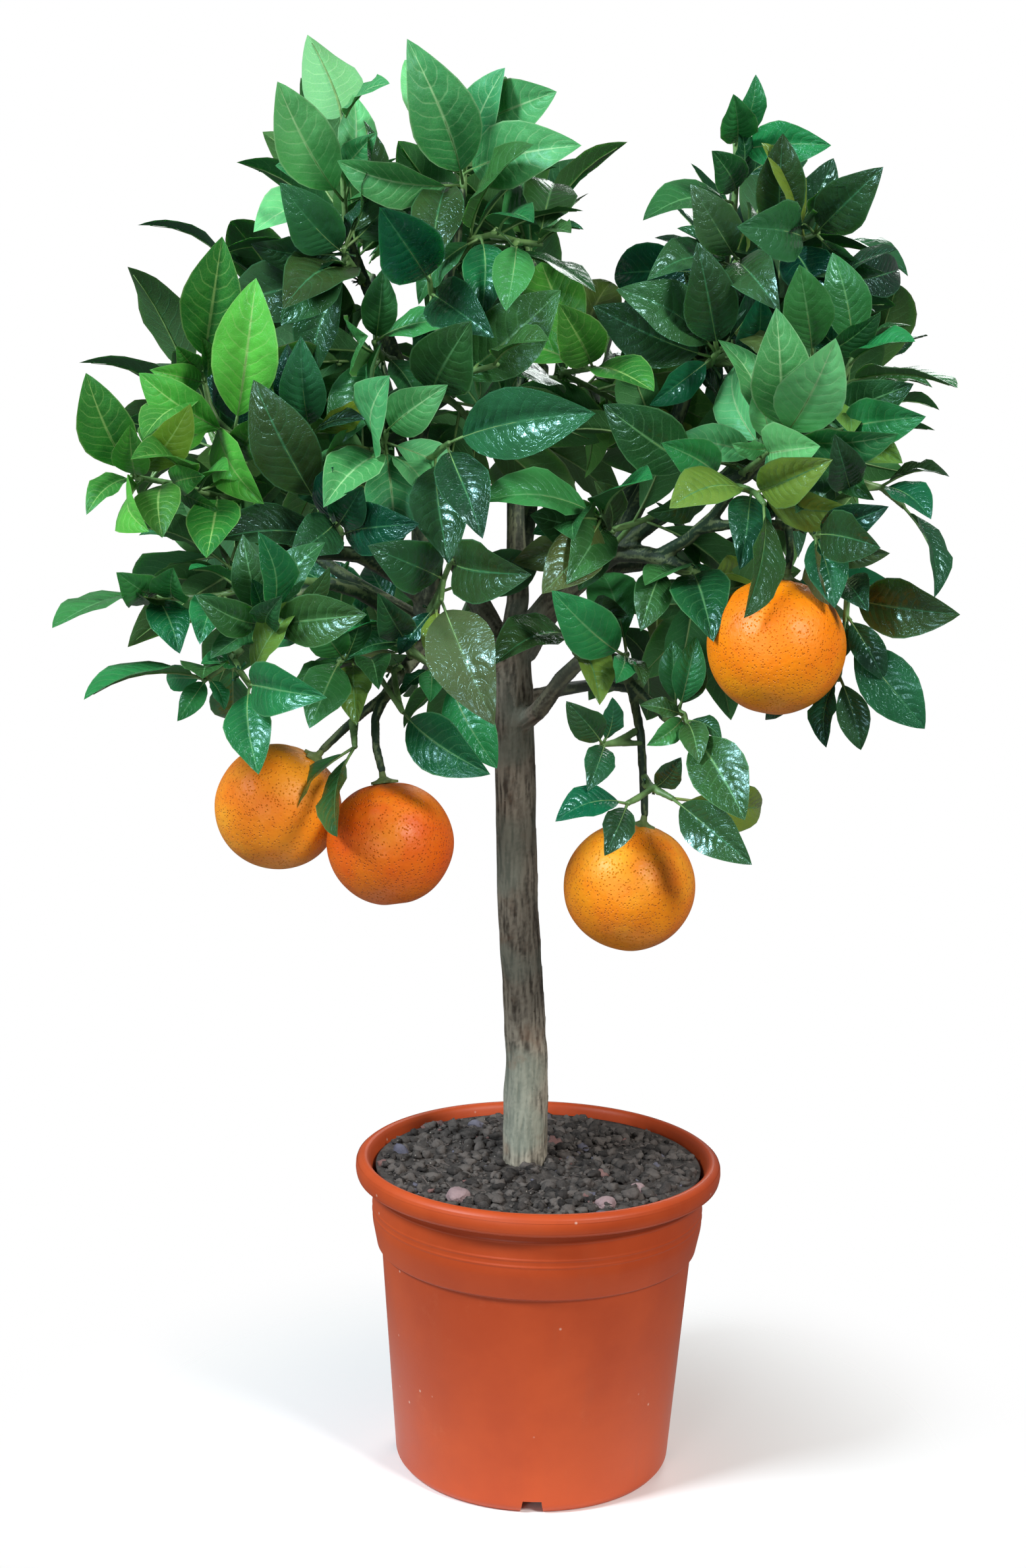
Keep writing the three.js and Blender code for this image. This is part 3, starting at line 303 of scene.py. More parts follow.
LEAF_FINISHES = {
    finish.slot: finish
    for finish in (
        LeafFinish("leaf_light", (0.026, 0.22, 0.070), (0.155, 0.57, 0.210), (0.38, 0.66, 0.32),
                   (0.12, 0.33, 0.13), 0.42, 0.35, 0.28, 0.16),
        LeafFinish("leaf_bright", (0.006, 0.125, 0.020), (0.090, 0.46, 0.050), (0.32, 0.56, 0.16),
                   (0.10, 0.28, 0.07), 0.36, 0.40, 0.26, 0.18),
        LeafFinish("leaf_mature", (0.002, 0.048, 0.018), (0.016, 0.220, 0.062), (0.13, 0.36, 0.14),
                   (0.036, 0.130, 0.042), 0.24, 0.52, 0.20, 0.22),
        LeafFinish("leaf_dark", (0.0006, 0.018, 0.012), (0.004, 0.110, 0.048), (0.05, 0.21, 0.09),
                   (0.018, 0.075, 0.030), 0.18, 0.60, 0.15, 0.26),
    )
}


@dataclass(frozen=True)
class PeelFinish:
    """The colours of one fruit's peel."""

    name: str
    main: Colour
    deep: Colour
    patch: Colour
    patch_share: float

    def material(self) -> bpy.types.Material:
        """Waxy peel with oil glands, clouded between a deep and a main colour and patched with a second
        colour.
        """
        material, w, shader = new_material(self.name)
        place = w.place()
        cloud = w.noise(place, 26.0, 3.0)
        patches = w.fade(w.noise(place, 17.0, 4.0, 0.6), 0.5, 0.72)
        glands = w.add("ShaderNodeTexVoronoi", {"Vector": place, "Scale": 620.0}).outputs["Distance"]
        pit = w.fade(glands, 0.36, 0.02)
        colour = w.blend(w.fade(cloud, 0.3, 0.7), self.deep, self.main)
        colour = w.blend(w.times(patches, self.patch_share), colour, self.patch)
        colour = w.blend(w.times(pit, 0.22), colour, self.deep)
        pricks = specks(w, 210.0, 0.035, 0.09)
        colour = w.blend(w.times(pricks, 0.5), colour, (0.45, 0.16, 0.02))
        waves = w.times(w.noise(place, 240.0, 2.0), 0.6)
        height = w.math("SUBTRACT", waves, pit)
        rough = w.fade(w.noise(place, 90.0, 3.0), 0.2, 0.8, 0.38, 0.52)
        connect(w, shader, {
            "Base Color": colour, "Roughness": rough, "Specular IOR Level": 0.34,
            "Subsurface Weight": 0.1, "Subsurface Scale": 0.003, "Subsurface Radius": (1.0, 0.45, 0.12),
            "Normal": w.bump(height, 0.9, 0.0008),
        })
        return material


PEELS = (
    PeelFinish("peel_patched", (0.90, 0.320, 0.015), (0.84, 0.200, 0.008), (0.82, 0.46, 0.04), 0.7),
    PeelFinish("peel_red", (0.82, 0.185, 0.006), (0.74, 0.105, 0.004), (0.84, 0.27, 0.012), 0.6),
    PeelFinish("peel_gold", (0.88, 0.285, 0.005), (0.82, 0.190, 0.004), (0.84, 0.38, 0.018), 0.7),
    PeelFinish("peel_bright", (0.92, 0.275, 0.003), (0.88, 0.195, 0.002), (0.92, 0.36, 0.007), 0.7),
)


def pot_material() -> bpy.types.Material:
    """Moulded terracotta-coloured plastic, weathered, with splashes of water and soil."""
    material, w, shader = new_material("pot_plastic")
    place = w.place()
    cloud = w.noise(place, 9.0, 5.0, 0.6)
    streaks = w.noise(w.stretched(place, (60.0, 60.0, 9.0)), 1.0, 4.0, 0.6)
    rings = w.noise(w.stretched(place, (1.5, 1.5, 420.0)), 1.0, 2.0)
    colour = w.blend(w.fade(cloud, 0.3, 0.7), (0.41, 0.052, 0.010), (0.52, 0.076, 0.015))
    colour = w.blend(w.fade(streaks, 0.55, 0.85, 0.0, 0.35), colour, (0.40, 0.075, 0.026))
    scuffs = w.fade(w.noise(place, 30.0, 6.0, 0.7), 0.6, 0.8, 0.0, 0.25)
    colour = w.blend(scuffs, colour, (0.62, 0.18, 0.08))
    pale = specks(w, 150.0, 0.06, 0.16)
    soil = specks(w, 95.0, 0.04, 0.10)
    colour = w.blend(w.times(pale, 0.7), colour, (0.80, 0.66, 0.55))
    colour = w.blend(soil, colour, (0.08, 0.035, 0.02))
    height = w.plus(w.times(rings, 0.35), w.times(w.noise(place, 900.0, 3.0), 0.5))
    connect(w, shader, {
        "Base Color": colour, "Roughness": w.fade(cloud, 0.2, 0.8, 0.38, 0.52),
        "Specular IOR Level": 0.32, "Normal": w.bump(height, 0.25, 0.0004),
    })
    return material


def bark_material() -> bpy.types.Material:
    """Bark, from grey fissured trunk to green young limbs with pale stripes."""
    material, w, shader = new_material("bark")
    place = w.place()
    streak, age, moss = w.attribute("grain")
    fine = w.noise(w.stretched(place, (1400.0, 1400.0, 260.0)), 1.0, 4.0, 0.65)
    lift = w.plus(streak, w.swing(fine, 0.35), clamp=True)
    old = w.blend(w.fade(lift, 0.15, 0.75), (0.080, 0.068, 0.052), (0.40, 0.365, 0.29))
    old = w.blend(w.fade(moss, 0.45, 0.8, 0.0, 0.55), old, (0.27, 0.32, 0.26))
    old = w.blend(w.fade(w.noise(place, 60.0, 4.0), 0.55, 0.75, 0.0, 0.5), old, (0.27, 0.165, 0.105))
    young = w.blend(w.fade(lift, 0.42, 0.72), (0.020, 0.050, 0.026), (0.14, 0.20, 0.09))
    colour = w.blend(age, young, old)
    height = w.plus(w.times(lift, 0.8), w.times(fine, 0.5))
    connect(w, shader, {
        "Base Color": colour, "Roughness": w.fade(age, 0.0, 1.0, 0.5, 0.82),
        "Specular IOR Level": 0.35, "Normal": w.bump(height, 0.6, 0.0008),
    })
    return material


def stem_material() -> bpy.types.Material:
    """Green stems, leaf stalks and midribs."""
    material, w, shader = new_material("green_stem")
    place = w.place()
    light, yellow, _ = w.attribute("leaf_tint")
    colour = w.blend(w.fade(w.noise(place, 120.0, 3.0), 0.3, 0.7), (0.075, 0.17, 0.045), (0.17, 0.33, 0.10))
    colour = w.blend(w.times(light, 0.6), colour, (0.22, 0.40, 0.16))
    colour = w.blend(yellow, colour, (0.34, 0.42, 0.08))
    height = w.noise(place, 700.0, 3.0)
    connect(w, shader, {"Base Color": colour, "Roughness": 0.45, "Normal": w.bump(height, 0.3, 0.0004)})
    return material


def soil_material(name: str) -> bpy.types.Material:
    """Dark peaty soil; the crumb attribute carries each crumb's own lightness, redness and blueness."""
    material, w, shader = new_material(name)
    place = w.place()
    light, red, blue = w.attribute("crumb")
    grain = w.noise(place, 260.0, 6.0, 0.7)
    shade = w.plus(w.times(light, 0.6), w.times(grain, 0.6), clamp=True)
    colour = w.blend(w.fade(shade, 0.25, 0.85), (0.010, 0.009, 0.009), (0.135, 0.118, 0.108))
    colour = w.blend(red, colour, (0.26, 0.13, 0.12))
    colour = w.blend(blue, colour, (0.16, 0.16, 0.22))
    grit = specks(w, 420.0, 0.05, 0.22)
    colour = w.blend(grit, colour, (0.55, 0.52, 0.46))
    height = w.noise(place, 900.0, 5.0, 0.7)
    connect(w, shader, {"Base Color": colour, "Roughness": 0.9, "Specular IOR Level": 0.3,
                        "Normal": w.bump(height, 0.8, 0.0012)})
    return material


def calyx_material() -> bpy.types.Material:
    """The dry green button that holds a fruit to its stalk."""
    material, w, shader = new_material("calyx_green")
    place = w.place()
    colour = w.blend(w.noise(place, 300.0, 4.0), (0.05, 0.12, 0.03), (0.26, 0.34, 0.11))
    connect(w, shader, {"Base Color": colour, "Roughness": 0.6,
                        "Normal": w.bump(w.noise(place, 700.0, 3.0), 0.5, 0.0005)})
    return material


def floor_material(radius: float) -> bpy.types.Material:
    """A plain pale floor that thins out to nothing towards its far edge."""
    material, w, shader = new_material("pale_floor")
    x, y, _ = w.add("ShaderNodeSeparateXYZ", {0: w.place()}).outputs
    far = w.math("SQRT", w.plus(w.times(x, x), w.times(y, y)))
    connect(w, shader, {"Base Color": (0.93, 0.93, 0.93), "Roughness": 0.7, "Specular IOR Level": 0.2,
                        "Alpha": w.fade(far, radius * 0.045, radius * 0.17, 1.0, 0.0)})
    return material


# ---------------------------------------------------------------- mesh helpers
def frame_copy(node: str) -> bmesh.types.BMesh:
    """A merged copy of a frame node's mesh."""
    bm = bmesh.new()
    bm.from_mesh(frame["nodes"][node].data)
    bmesh.ops.remove_doubles(bm, verts=bm.verts, dist=0.01 * MM)
    return bm


def evened(bm: bmesh.types.BMesh, voxel: float, rounds: int) -> bmesh.types.BMesh:
    """A smooth closed surface of small even faces over a rough one.

    Args:
        bm: The rough closed mesh, which is used up.
        voxel: The size of the new faces.
        rounds: How often the new surface is smoothed.

    Returns:
        The new mesh.
    """
    rough = bpy.data.objects.new("rough", bpy.data.meshes.new("rough"))
    bm.to_mesh(rough.data)
    bm.free()
    bpy.context.scene.collection.objects.link(rough)
    modifier = rough.modifiers.new("even", "REMESH")
    modifier.mode = "VOXEL"
    modifier.voxel_size = voxel
    mesh = bpy.data.meshes.new_from_object(rough.evaluated_get(bpy.context.evaluated_depsgraph_get()))
    even = bmesh.new()
    even.from_mesh(mesh)
    old = rough.data
    bpy.data.objects.remove(rough)
    for spent in (old, mesh):
        bpy.data.meshes.remove(spent)
    for _ in range(rounds):
        bmesh.ops.smooth_vert(
            even, verts=even.verts, factor=0.5, use_axis_x=True, use_axis_y=True, use_axis_z=True)
    return even


def crease(bm: bmesh.types.BMesh, angle: float) -> None:
    """Shades every face smooth and keeps the edges sharper than an angle crisp."""
    for face in bm.faces:
        face.smooth = True
    for edge in bm.edges:
        edge.smooth = len(edge.link_faces) == 2 and edge.calc_face_angle(0.0) < angle


def as_pattern(name: str, bm: bmesh.types.BMesh) -> bpy.types.Mesh:
    """Keeps a mesh as a pattern that is added many times."""
    mesh = bpy.data.meshes.new(name)
    bm.to_mesh(mesh)
    bm.free()
    return mesh


def add_bent(
    bm: bmesh.types.BMesh, pattern: bpy.types.Mesh, bend: Callable[[float, float, float], Vector],
    layer: str, values: tuple[float, float, float, float],
) -> None:
    """Adds a pattern to a mesh and bends it into place.

    Args:
        bm: The mesh that grows.
        pattern: The pattern in its own flat coordinates.
        bend: Gives the place of a point of the pattern.
        layer: The colour attribute that is filled in.
        values: The attribute's value for the whole pattern.
    """
    start = len(bm.verts)
    bm.from_mesh(pattern)
    bm.verts.ensure_lookup_table()
    channel = bm.verts.layers.float_color[layer]
    for vert in bm.verts[start:]:
        vert.co = bend(*vert.co)
        vert[channel] = values


def finish_piece(
    name: str, bm: bmesh.types.BMesh, materials: Iterable[bpy.types.Material], slot: str, *nodes: str
) -> bpy.types.Object:
    """Turns a mesh into a finished piece of the tree.

    Args:
        name: The piece's name.
        bm: Its mesh, which is used up.
        materials: Its materials in slot order.
        slot: The record's material slot; not used.
        nodes: The frame nodes that it stands for.

    Returns:
        The piece.
    """
    mesh = bpy.data.meshes.new(name)
    bm.to_mesh(mesh)
    bm.free()
    for material in materials:
        mesh.materials.append(material)
    piece = bpy.data.objects.new(name, mesh)
    bpy.context.scene.collection.objects.link(piece)
    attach(piece, ROOT)
    if nodes:
        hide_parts(*nodes)
    log.info("%s: %d faces, %.1f s", name, len(mesh.polygons), time.perf_counter() - STARTED)
    return piece


def middle_and_reach(node: str) -> tuple[Vector, Vector]:
    """The middle of a frame node's box, and half of its size along each axis."""
    low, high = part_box(node)
    return (low + high) / 2, (high - low) / 2


def turn_to(direction: Vector) -> Matrix:
    """The turn that takes +Z to a direction."""
    return direction.to_track_quat("Z", "Y").to_matrix().to_4x4()


# ---------------------------------------------------------------- camera, light and floor
@dataclass(frozen=True)
class Viewpoint:
    """Where the tree is looked at from."""

    place: tuple[float, float, float] = (-0.020, -1.327, 0.636)
    pitch: float = math.radians(9.5)
    roll: float = math.radians(1.25)
    sensor: float = 36.0
    focal_length: float = 52.94

    def build(self) -> None:
        """Makes the camera."""
        data = bpy.data.cameras.new("viewpoint")
        data.sensor_width = self.sensor
        data.lens = self.focal_length
        data.clip_start = 0.05
        camera = bpy.data.objects.new("viewpoint", data)
        ahead = Vector((0.0, math.cos(self.pitch), -math.sin(self.pitch)))
        right = Vector((1.0, 0.0, 0.0))
        above = right.cross(ahead)
        across = right * math.cos(self.roll) + above * math.sin(self.roll)
        up = above * math.cos(self.roll) - right * math.sin(self.roll)
        turn = Matrix((across, up, -ahead)).transposed().to_4x4()
        camera.matrix_world = Matrix.Translation(self.place) @ turn
        bpy.context.scene.collection.objects.link(camera)
        bpy.context.scene.camera = camera


@dataclass(frozen=True)
class Panel:
    """One soft light."""

    name: str
    place: tuple[float, float, float]
    size: float
    power: float
    colour: Colour


@dataclass(frozen=True)
class Studio:
    """Soft studio light round the tree, a pale floor and a white surround."""

    aim: tuple[float, float, float] = (-0.02, 0.0, 0.52)
    floor_radius: float = 2.0
    surround: float = 0.19
    panels: tuple[Panel, ...] = (
        Panel("key_right", (1.30, -1.55, 1.75), 0.55, 42.0, (1.0, 0.97, 0.93)),
        Panel("sky_left", (-1.45, -0.95, 1.85), 0.65, 60.0, (0.84, 0.94, 1.0)),
        Panel("front_fill", (-0.85, -2.20, 0.60), 0.7, 11.0, (0.92, 0.97, 1.0)),
        Panel("back_rim", (0.60, 1.90, 1.55), 0.8, 10.0, (0.97, 1.0, 0.97)),
    )

    def build(self) -> None:
        """Makes the lights, the floor and the surround."""
        for panel in self.panels:
            data = bpy.data.lights.new(panel.name, "AREA")
            data.shape = "DISK"
            data.size = panel.size
            data.energy = panel.power
            data.color = panel.colour
            light = bpy.data.objects.new(panel.name, data)
            towards = Vector(panel.place) - Vector(self.aim)
            light.matrix_world = Matrix.Translation(panel.place) @ turn_to(towards)
            bpy.context.scene.collection.objects.link(light)
        self._floor()
        self._surround()
        bpy.context.scene.view_settings.view_transform = "Standard"

    def _floor(self) -> None:
        """The floor, a plain disc."""
        bm = bmesh.new()
        bmesh.ops.create_circle(bm, cap_ends=True, segments=96, radius=self.floor_radius)
        mesh = bpy.data.meshes.new("floor")
        bm.to_mesh(mesh)
        bm.free()
        mesh.materials.append(floor_material(self.floor_radius))
        floor = bpy.data.objects.new("floor", mesh)
        bpy.context.scene.collection.objects.link(floor)

    def _surround(self) -> None:
        """White behind everything, and softer where it lights the tree."""
        world = bpy.data.worlds.new("surround")
        world.use_nodes = True
        bpy.context.scene.world = world
        w = Wiring(world.node_tree)
        seen = w.add("ShaderNodeLightPath").outputs["Is Camera Ray"]
        strength = w.plus(self.surround, w.times(seen, 1.0 - self.surround))
        background = world.node_tree.nodes["Background"]
        background.inputs["Color"].default_value = (1.0, 1.0, 1.0, 1.0)
        world.node_tree.links.new(strength, background.inputs["Strength"])


# ---------------------------------------------------------------- pot
def eased(corners: Iterable[tuple[float, float, float]], steps: int = 4) -> list[Vector]:
    """An outline with rounded corners.

    Args:
        corners: Radius, height and ease of each corner in millimetres. An ease of 0 keeps the corner.
        steps: How many stretches a rounded corner has.

    Returns:
        The points of the outline in the XZ plane, in metres.
    """
    rows = [(Vector((r, 0.0, z)) * MM, ease * MM) for r, z, ease in corners]
    outline = []
    for k, (corner, ease) in enumerate(rows):
        if not ease:
            outline.append(corner)
            continue
        start = corner + (rows[k - 1][0] - corner).normalized() * ease
        end = corner + (rows[k + 1][0] - corner).normalized() * ease
        for step in range(steps + 1):
            t = step / steps
            outline.append(start.lerp(corner, t).lerp(corner.lerp(end, t), t))
    return outline


def turned(outline: list[Vector], sides: int) -> bmesh.types.BMesh:
    """A closed solid turned round the Z axis.

    Args:
        outline: Its section in the XZ plane, from axis to axis.
        sides: How many faces go round it.

    Returns:
        The solid.
    """
    bm = bmesh.new()
    points = [bm.verts.new(point) for point in outline]
    chain = [bm.edges.new(pair) for pair in zip(points, points[1:])]
    bmesh.ops.spin(bm, geom=points + chain, cent=(0, 0, 0), axis=(0, 0, 1), angle=math.tau,
                   steps=sides, use_merge=True)
    bmesh.ops.remove_doubles(bm, verts=bm.verts, dist=0.01 * MM)
    bmesh.ops.recalc_face_normals(bm, faces=bm.faces)
    return bm


@dataclass(frozen=True)
class Pot:
    """The moulded pot: a tapered drum, a band under a rolled lip, and a foot ring with notches."""

    height: float = 190.0
    rim: float = 110.0
    mouth: float = 100.0
    band: float = 98.8
    neck: float = 93.0
    foot: float = 80.0
    wall: float = 2.6
    floor: float = 9.5
    sides: int = 160
    ribs: tuple[float, ...] = (156.0, 160.0, 170.5)
    rib: float = 0.35
    ring: float = 4.0
    shoulder: float = 134.2
    lip: float = 176.6
    notches: int = 4
    notch: tuple[float, float, float] = (16.0, 24.0, 16.0)
    drains: int = 4
    drain_radius: float = 5.0
    drain_ring: float = 52.0

    def _outline(self) -> list[Vector]:
        """The pot's section, from the middle of its underside over the lip to the middle of its floor."""
        foot, neck, band, rim, top = self.foot, self.neck, self.band, self.rim, self.height
        ring, shoulder = self.ring, self.shoulder
        outside = [(0, 0, 0), (22, 0, 0.8), (26, self.floor, 1.5), (foot - 9, self.floor, 1.5),
                   (foot - 7, 0, 0.8), (foot - 1, 0, 1.2), (foot + 2.6, ring, 2.0), (neck, shoulder, 0.5),
                   (neck + 2.7, shoulder + 1.4, 0.7), (band, 151, 3.0)]
        for z in self.ribs:
            outside += [(band, z - 1.0, 0.4), (band + self.rib, z, 0.5), (band, z + 1.0, 0.4)]
        lip = [(band + 0.3, self.lip - 1.2, 0.8), (rim - 2.6, self.lip, 2.6), (rim, 182.5, 5.0),
               (rim - 2.2, top - 1.2, 3.4), (rim - 6.5, top, 1.8), (self.mouth + 1.2, top - 2.2, 1.6)]
        inside = [(self.mouth, 184, 1.5), (self.mouth - 2, 176, 1.5), (self.mouth - 3.5, 150, 2.0),
                  (neck - self.wall, 133, 2.0), (foot - 5, self.floor + self.wall, 2.0),
                  (30, self.floor + self.wall, 1.5), (26, 3, 1.0), (0, 3, 0)]
        return eased(outside + lip + inside)

    def _cutters(self) -> bmesh.types.BMesh:
        """The notches in the foot ring and the drain holes, as solids to cut away."""
        bm = bmesh.new()
        for k in range(self.notches):
            cube = bmesh.ops.create_cube(bm, size=MM)["verts"]
            bmesh.ops.scale(bm, verts=cube, vec=self.notch)
            top = [vert for vert in cube if vert.co.z > 0]
            bmesh.ops.scale(bm, verts=top, vec=(0.68, 1.0, 1.0))
            bmesh.ops.translate(bm, verts=cube, vec=(0.0, -self.foot * MM, 0.0))
            bmesh.ops.rotate(bm, verts=cube, matrix=Matrix.Rotation(k * math.tau / self.notches, 3, "Z"))
        for k in range(self.drains):
            hole = bmesh.ops.create_cone(bm, cap_ends=True, segments=32, radius1=self.drain_radius * MM,
                                         radius2=self.drain_radius * MM, depth=12 * MM)["verts"]
            bmesh.ops.translate(bm, verts=hole, vec=(self.drain_ring * MM, 0.0, self.floor * MM))
            turn = Matrix.Rotation((k + 0.5) * math.tau / self.drains, 3, "Z")
            bmesh.ops.rotate(bm, verts=hole, matrix=turn)
        return bm

    def build(self) -> None:
        """Spins the section, cuts the notches and holes and dresses the pot."""
        bm = turned(self._outline(), self.sides)
        meshes = [bpy.data.meshes.new("pot_shell"), bpy.data.meshes.new("pot_cutters")]
        for mesh, solid in zip(meshes, (bm, self._cutters())):
            solid.to_mesh(mesh)
            solid.free()
        shell, cutters = [bpy.data.objects.new(mesh.name, mesh) for mesh in meshes]
        for part in (shell, cutters):
            bpy.context.scene.collection.objects.link(part)
        modifier = shell.modifiers.new("cuts", "BOOLEAN")
        modifier.operation = "DIFFERENCE"
        modifier.solver = "EXACT"
        modifier.object = cutters
        cut = bpy.data.meshes.new_from_object(shell.evaluated_get(bpy.context.evaluated_depsgraph_get()))
        bm = bmesh.new()
        bm.from_mesh(cut)
        for part in (shell, cutters):
            bpy.data.objects.remove(part)
        for mesh in (*meshes, cut):
            bpy.data.meshes.remove(mesh)
        crease(bm, math.radians(38))
        finish_piece("flower_pot", bm, [pot_material()], "pot", "pot")


# ---------------------------------------------------------------- soil and stones
def crumble(place: Vector) -> float:
    """The unevenness of the soil at a place, from about -1 to 1."""
    flat = Vector((place.x, place.y, 0.0))
    return (0.55 * noise.noise(flat * 75) + 0.45 * noise.noise(flat * 190 + Vector((3, 1, 7)))
            + 0.30 * noise.noise(flat * 430))


@dataclass(frozen=True)
class Soil:
    """The soil: an uneven bed, loose crumbs and fibres on it, and a few stones."""

    mouth: float = 97.2
    waist: float = 89.6
    base: float = 73.5
    underside: float = 9.0
    relief: float = 3.2
    rings: int = 58
    sides: int = 200
    crumbs: int = 1500
    crumb_sizes: tuple[float, float] = (0.9, 4.3)
    crumb_rarity: float = 2.8
    crumb_squash: tuple[tuple[float, float], ...] = ((0.8, 1.3), (0.7, 1.1), (0.55, 0.9))
    red_share: float = 0.02
    blue_share: float = 0.025
    fibres: int = 90
    fibre_lengths: tuple[float, float] = (5.0, 19.0)
    fibre_radii: tuple[float, float] = (0.16, 0.42)
    trunk_x: float = -13.0
    trunk_clear: float = 13.5
    seed: int = 11

    @cached_property
    def level(self) -> float:
        """The height of the soil's surface in metres."""
        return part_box("soil")[1].z - 3.6 * MM

    def _height(self, x: float, y: float) -> float:
        """The height of the bed at a place."""
        mound = 2.6 * MM * math.exp(-(x * x + y * y) / (2 * (26 * MM) ** 2))
        return self.level + mound + self.relief * MM * crumble(Vector((x, y, 0.0)))

    def _bed(self) -> None:
        """The body of the soil with its uneven top."""
        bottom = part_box("soil")[0].z + self.underside * MM
        step = self.mouth * MM / self.rings
        top = [Vector((k * step, 0.0, self.level)) for k in range(self.rings + 1)]
        below = [Vector((self.waist * MM, 0.0, 0.7 * self.level)), Vector((self.base * MM, 0.0, bottom)),
                 Vector((0.0, 0.0, bottom))]
        bm = turned(top + below, self.sides)
        layer = bm.verts.layers.float_color.new("crumb")
        for vert in bm.verts:
            if vert.co.z > self.level - MM:
                near = 1.0 - min(1.0, max(0.0, (vert.co.xy.length / MM - self.mouth + 3) / 3))
                vert.co.z = self.level + (self._height(vert.co.x, vert.co.y) - self.level) * near
            vert[layer] = (0.35 + 0.4 * crumble(vert.co * 0.7), 0.0, 0.0, 1.0)
        crease(bm, math.pi)
        finish_piece("soil_bed", bm, [soil_material("soil_peat")], "soil", "soil")

    def _spot(self, dice: random.Random, edge: float) -> tuple[float, float]:
        """A seeded place on the soil, clear of the trunk."""
        while True:
            r = edge * MM * math.sqrt(dice.random())
            turn = dice.uniform(0.0, math.tau)
            x, y = r * math.cos(turn), r * math.sin(turn)
            if math.hypot(x - self.trunk_x * MM, y) > self.trunk_clear * MM:
                return x, y

    def _crumbs(self) -> None:
        """Loose lumps of soil and small pebbles."""
        dice = random.Random(self.seed)
        ball = bmesh.new()
        bmesh.ops.create_icosphere(ball, subdivisions=2, radius=1.0)
        crease(ball, math.radians(60))
        pattern = as_pattern("crumb_pattern", ball)
        bm = bmesh.new()
        bm.verts.layers.float_color.new("crumb")
        least, most = self.crumb_sizes
        for _ in range(self.crumbs):
            radius = MM * (least + (most - least) * dice.random() ** self.crumb_rarity)
            x, y = self._spot(dice, self.mouth - 4.0)
            kind = dice.random()
            red = 0.7 if kind < self.red_share else 0.0
            blue = 0.7 if kind > 1.0 - self.blue_share else 0.0
            tone = (dice.uniform(0.1, 0.9), red, blue, 1.0)
            shift = Vector([dice.uniform(0, 50) for _ in range(3)])
            squash = Vector([dice.uniform(*ends) for ends in self.crumb_squash]) * radius
            turn = Matrix.Rotation(dice.uniform(0, math.tau), 3, "Z")
            foot = Vector((x, y, self._height(x, y) + radius * dice.uniform(0.0, 0.45)))

            def lump(*spot: float) -> Vector:
                """One point of this crumb."""
                out = Vector(spot)
                jag = 0.75 * noise.noise(out * 1.5 + shift) + 0.30 * noise.noise(out * 3.3 + shift)
                return foot + turn @ (out * squash * (1.0 + jag))

            add_bent(bm, pattern, lump, "crumb", tone)
        finish_piece("soil_crumbs", bm, [soil_material("soil_crumb")], "soil")

    def _fibres(self) -> None:
        """Thin roots and straws lying on the soil."""
        dice = random.Random(self.seed + 1)
        rod = bmesh.new()
        bmesh.ops.create_cone(rod, cap_ends=True, segments=4, radius1=1.0, radius2=0.4, depth=1.0)
        sides = [edge for edge in rod.edges if abs(edge.verts[0].co.z - edge.verts[1].co.z) > 0.5]
        bmesh.ops.subdivide_edges(rod, edges=sides, cuts=5)
        crease(rod, math.radians(100))
        pattern = as_pattern("straw_pattern", rod)
        bm = bmesh.new()
        bm.verts.layers.float_color.new("crumb")
        for _ in range(self.fibres):
            length = MM * dice.uniform(*self.fibre_lengths)
            thick = MM * dice.uniform(*self.fibre_radii)
            x, y = self._spot(dice, self.mouth - 12.0)
            bend = dice.uniform(-0.9, 0.9)
            turn = Matrix.Rotation(dice.uniform(0, math.tau), 3, "Z")

            def straw(a: float, b: float, t: float) -> Vector:
                """One point of this straw."""
                run = turn @ Vector((t * length, bend * length * t * t + a * thick, 0.0))
                lift = self._height(x + run.x, y + run.y) + MM * (1.0 + 1.2 * math.sin(4 * t + bend))
                return Vector((x + run.x, y + run.y, lift + b * thick))

            add_bent(bm, pattern, straw, "crumb", (1.0, 0.1, 0.0, 1.0))
        finish_piece("soil_fibres", bm, [soil_material("soil_straw")], "soil")

    def _stones(self) -> None:
        """The stones that lie on the soil."""
        material, w, shader = new_material("stone_rough")
        place = w.place()
        colour = w.blend(w.noise(place, 120.0, 5.0, 0.7), (0.16, 0.10, 0.11), (0.42, 0.30, 0.30))
        connect(w, shader, {"Base Color": colour, "Roughness": 0.8,
                            "Normal": w.bump(w.noise(place, 500.0, 5.0, 0.7), 0.6, 0.001)})
        for k in (1, 2, 3):
            node = f"stone_{k}"
            middle, reach = middle_and_reach(node)
            bm = bmesh.new()
            bmesh.ops.create_icosphere(bm, subdivisions=5, radius=1.0)
            for vert in bm.verts:
                lumps = 0.13 * noise.noise(vert.co * 1.6 + Vector((9.0 * k, 0, 0))) \
                    + 0.05 * noise.noise(vert.co * 5.0 + Vector((0, 5.0 * k, 0)))
                vert.co = middle + (vert.co * (0.97 + lumps)) * reach
            crease(bm, math.pi)
            finish_piece(f"pebble_{k}", bm, [material], "stone", node)

    def build(self) -> None:
        """Makes the bed, the crumbs, the fibres and the stones."""
        self._bed()
        self._crumbs()
        self._fibres()
        self._stones()


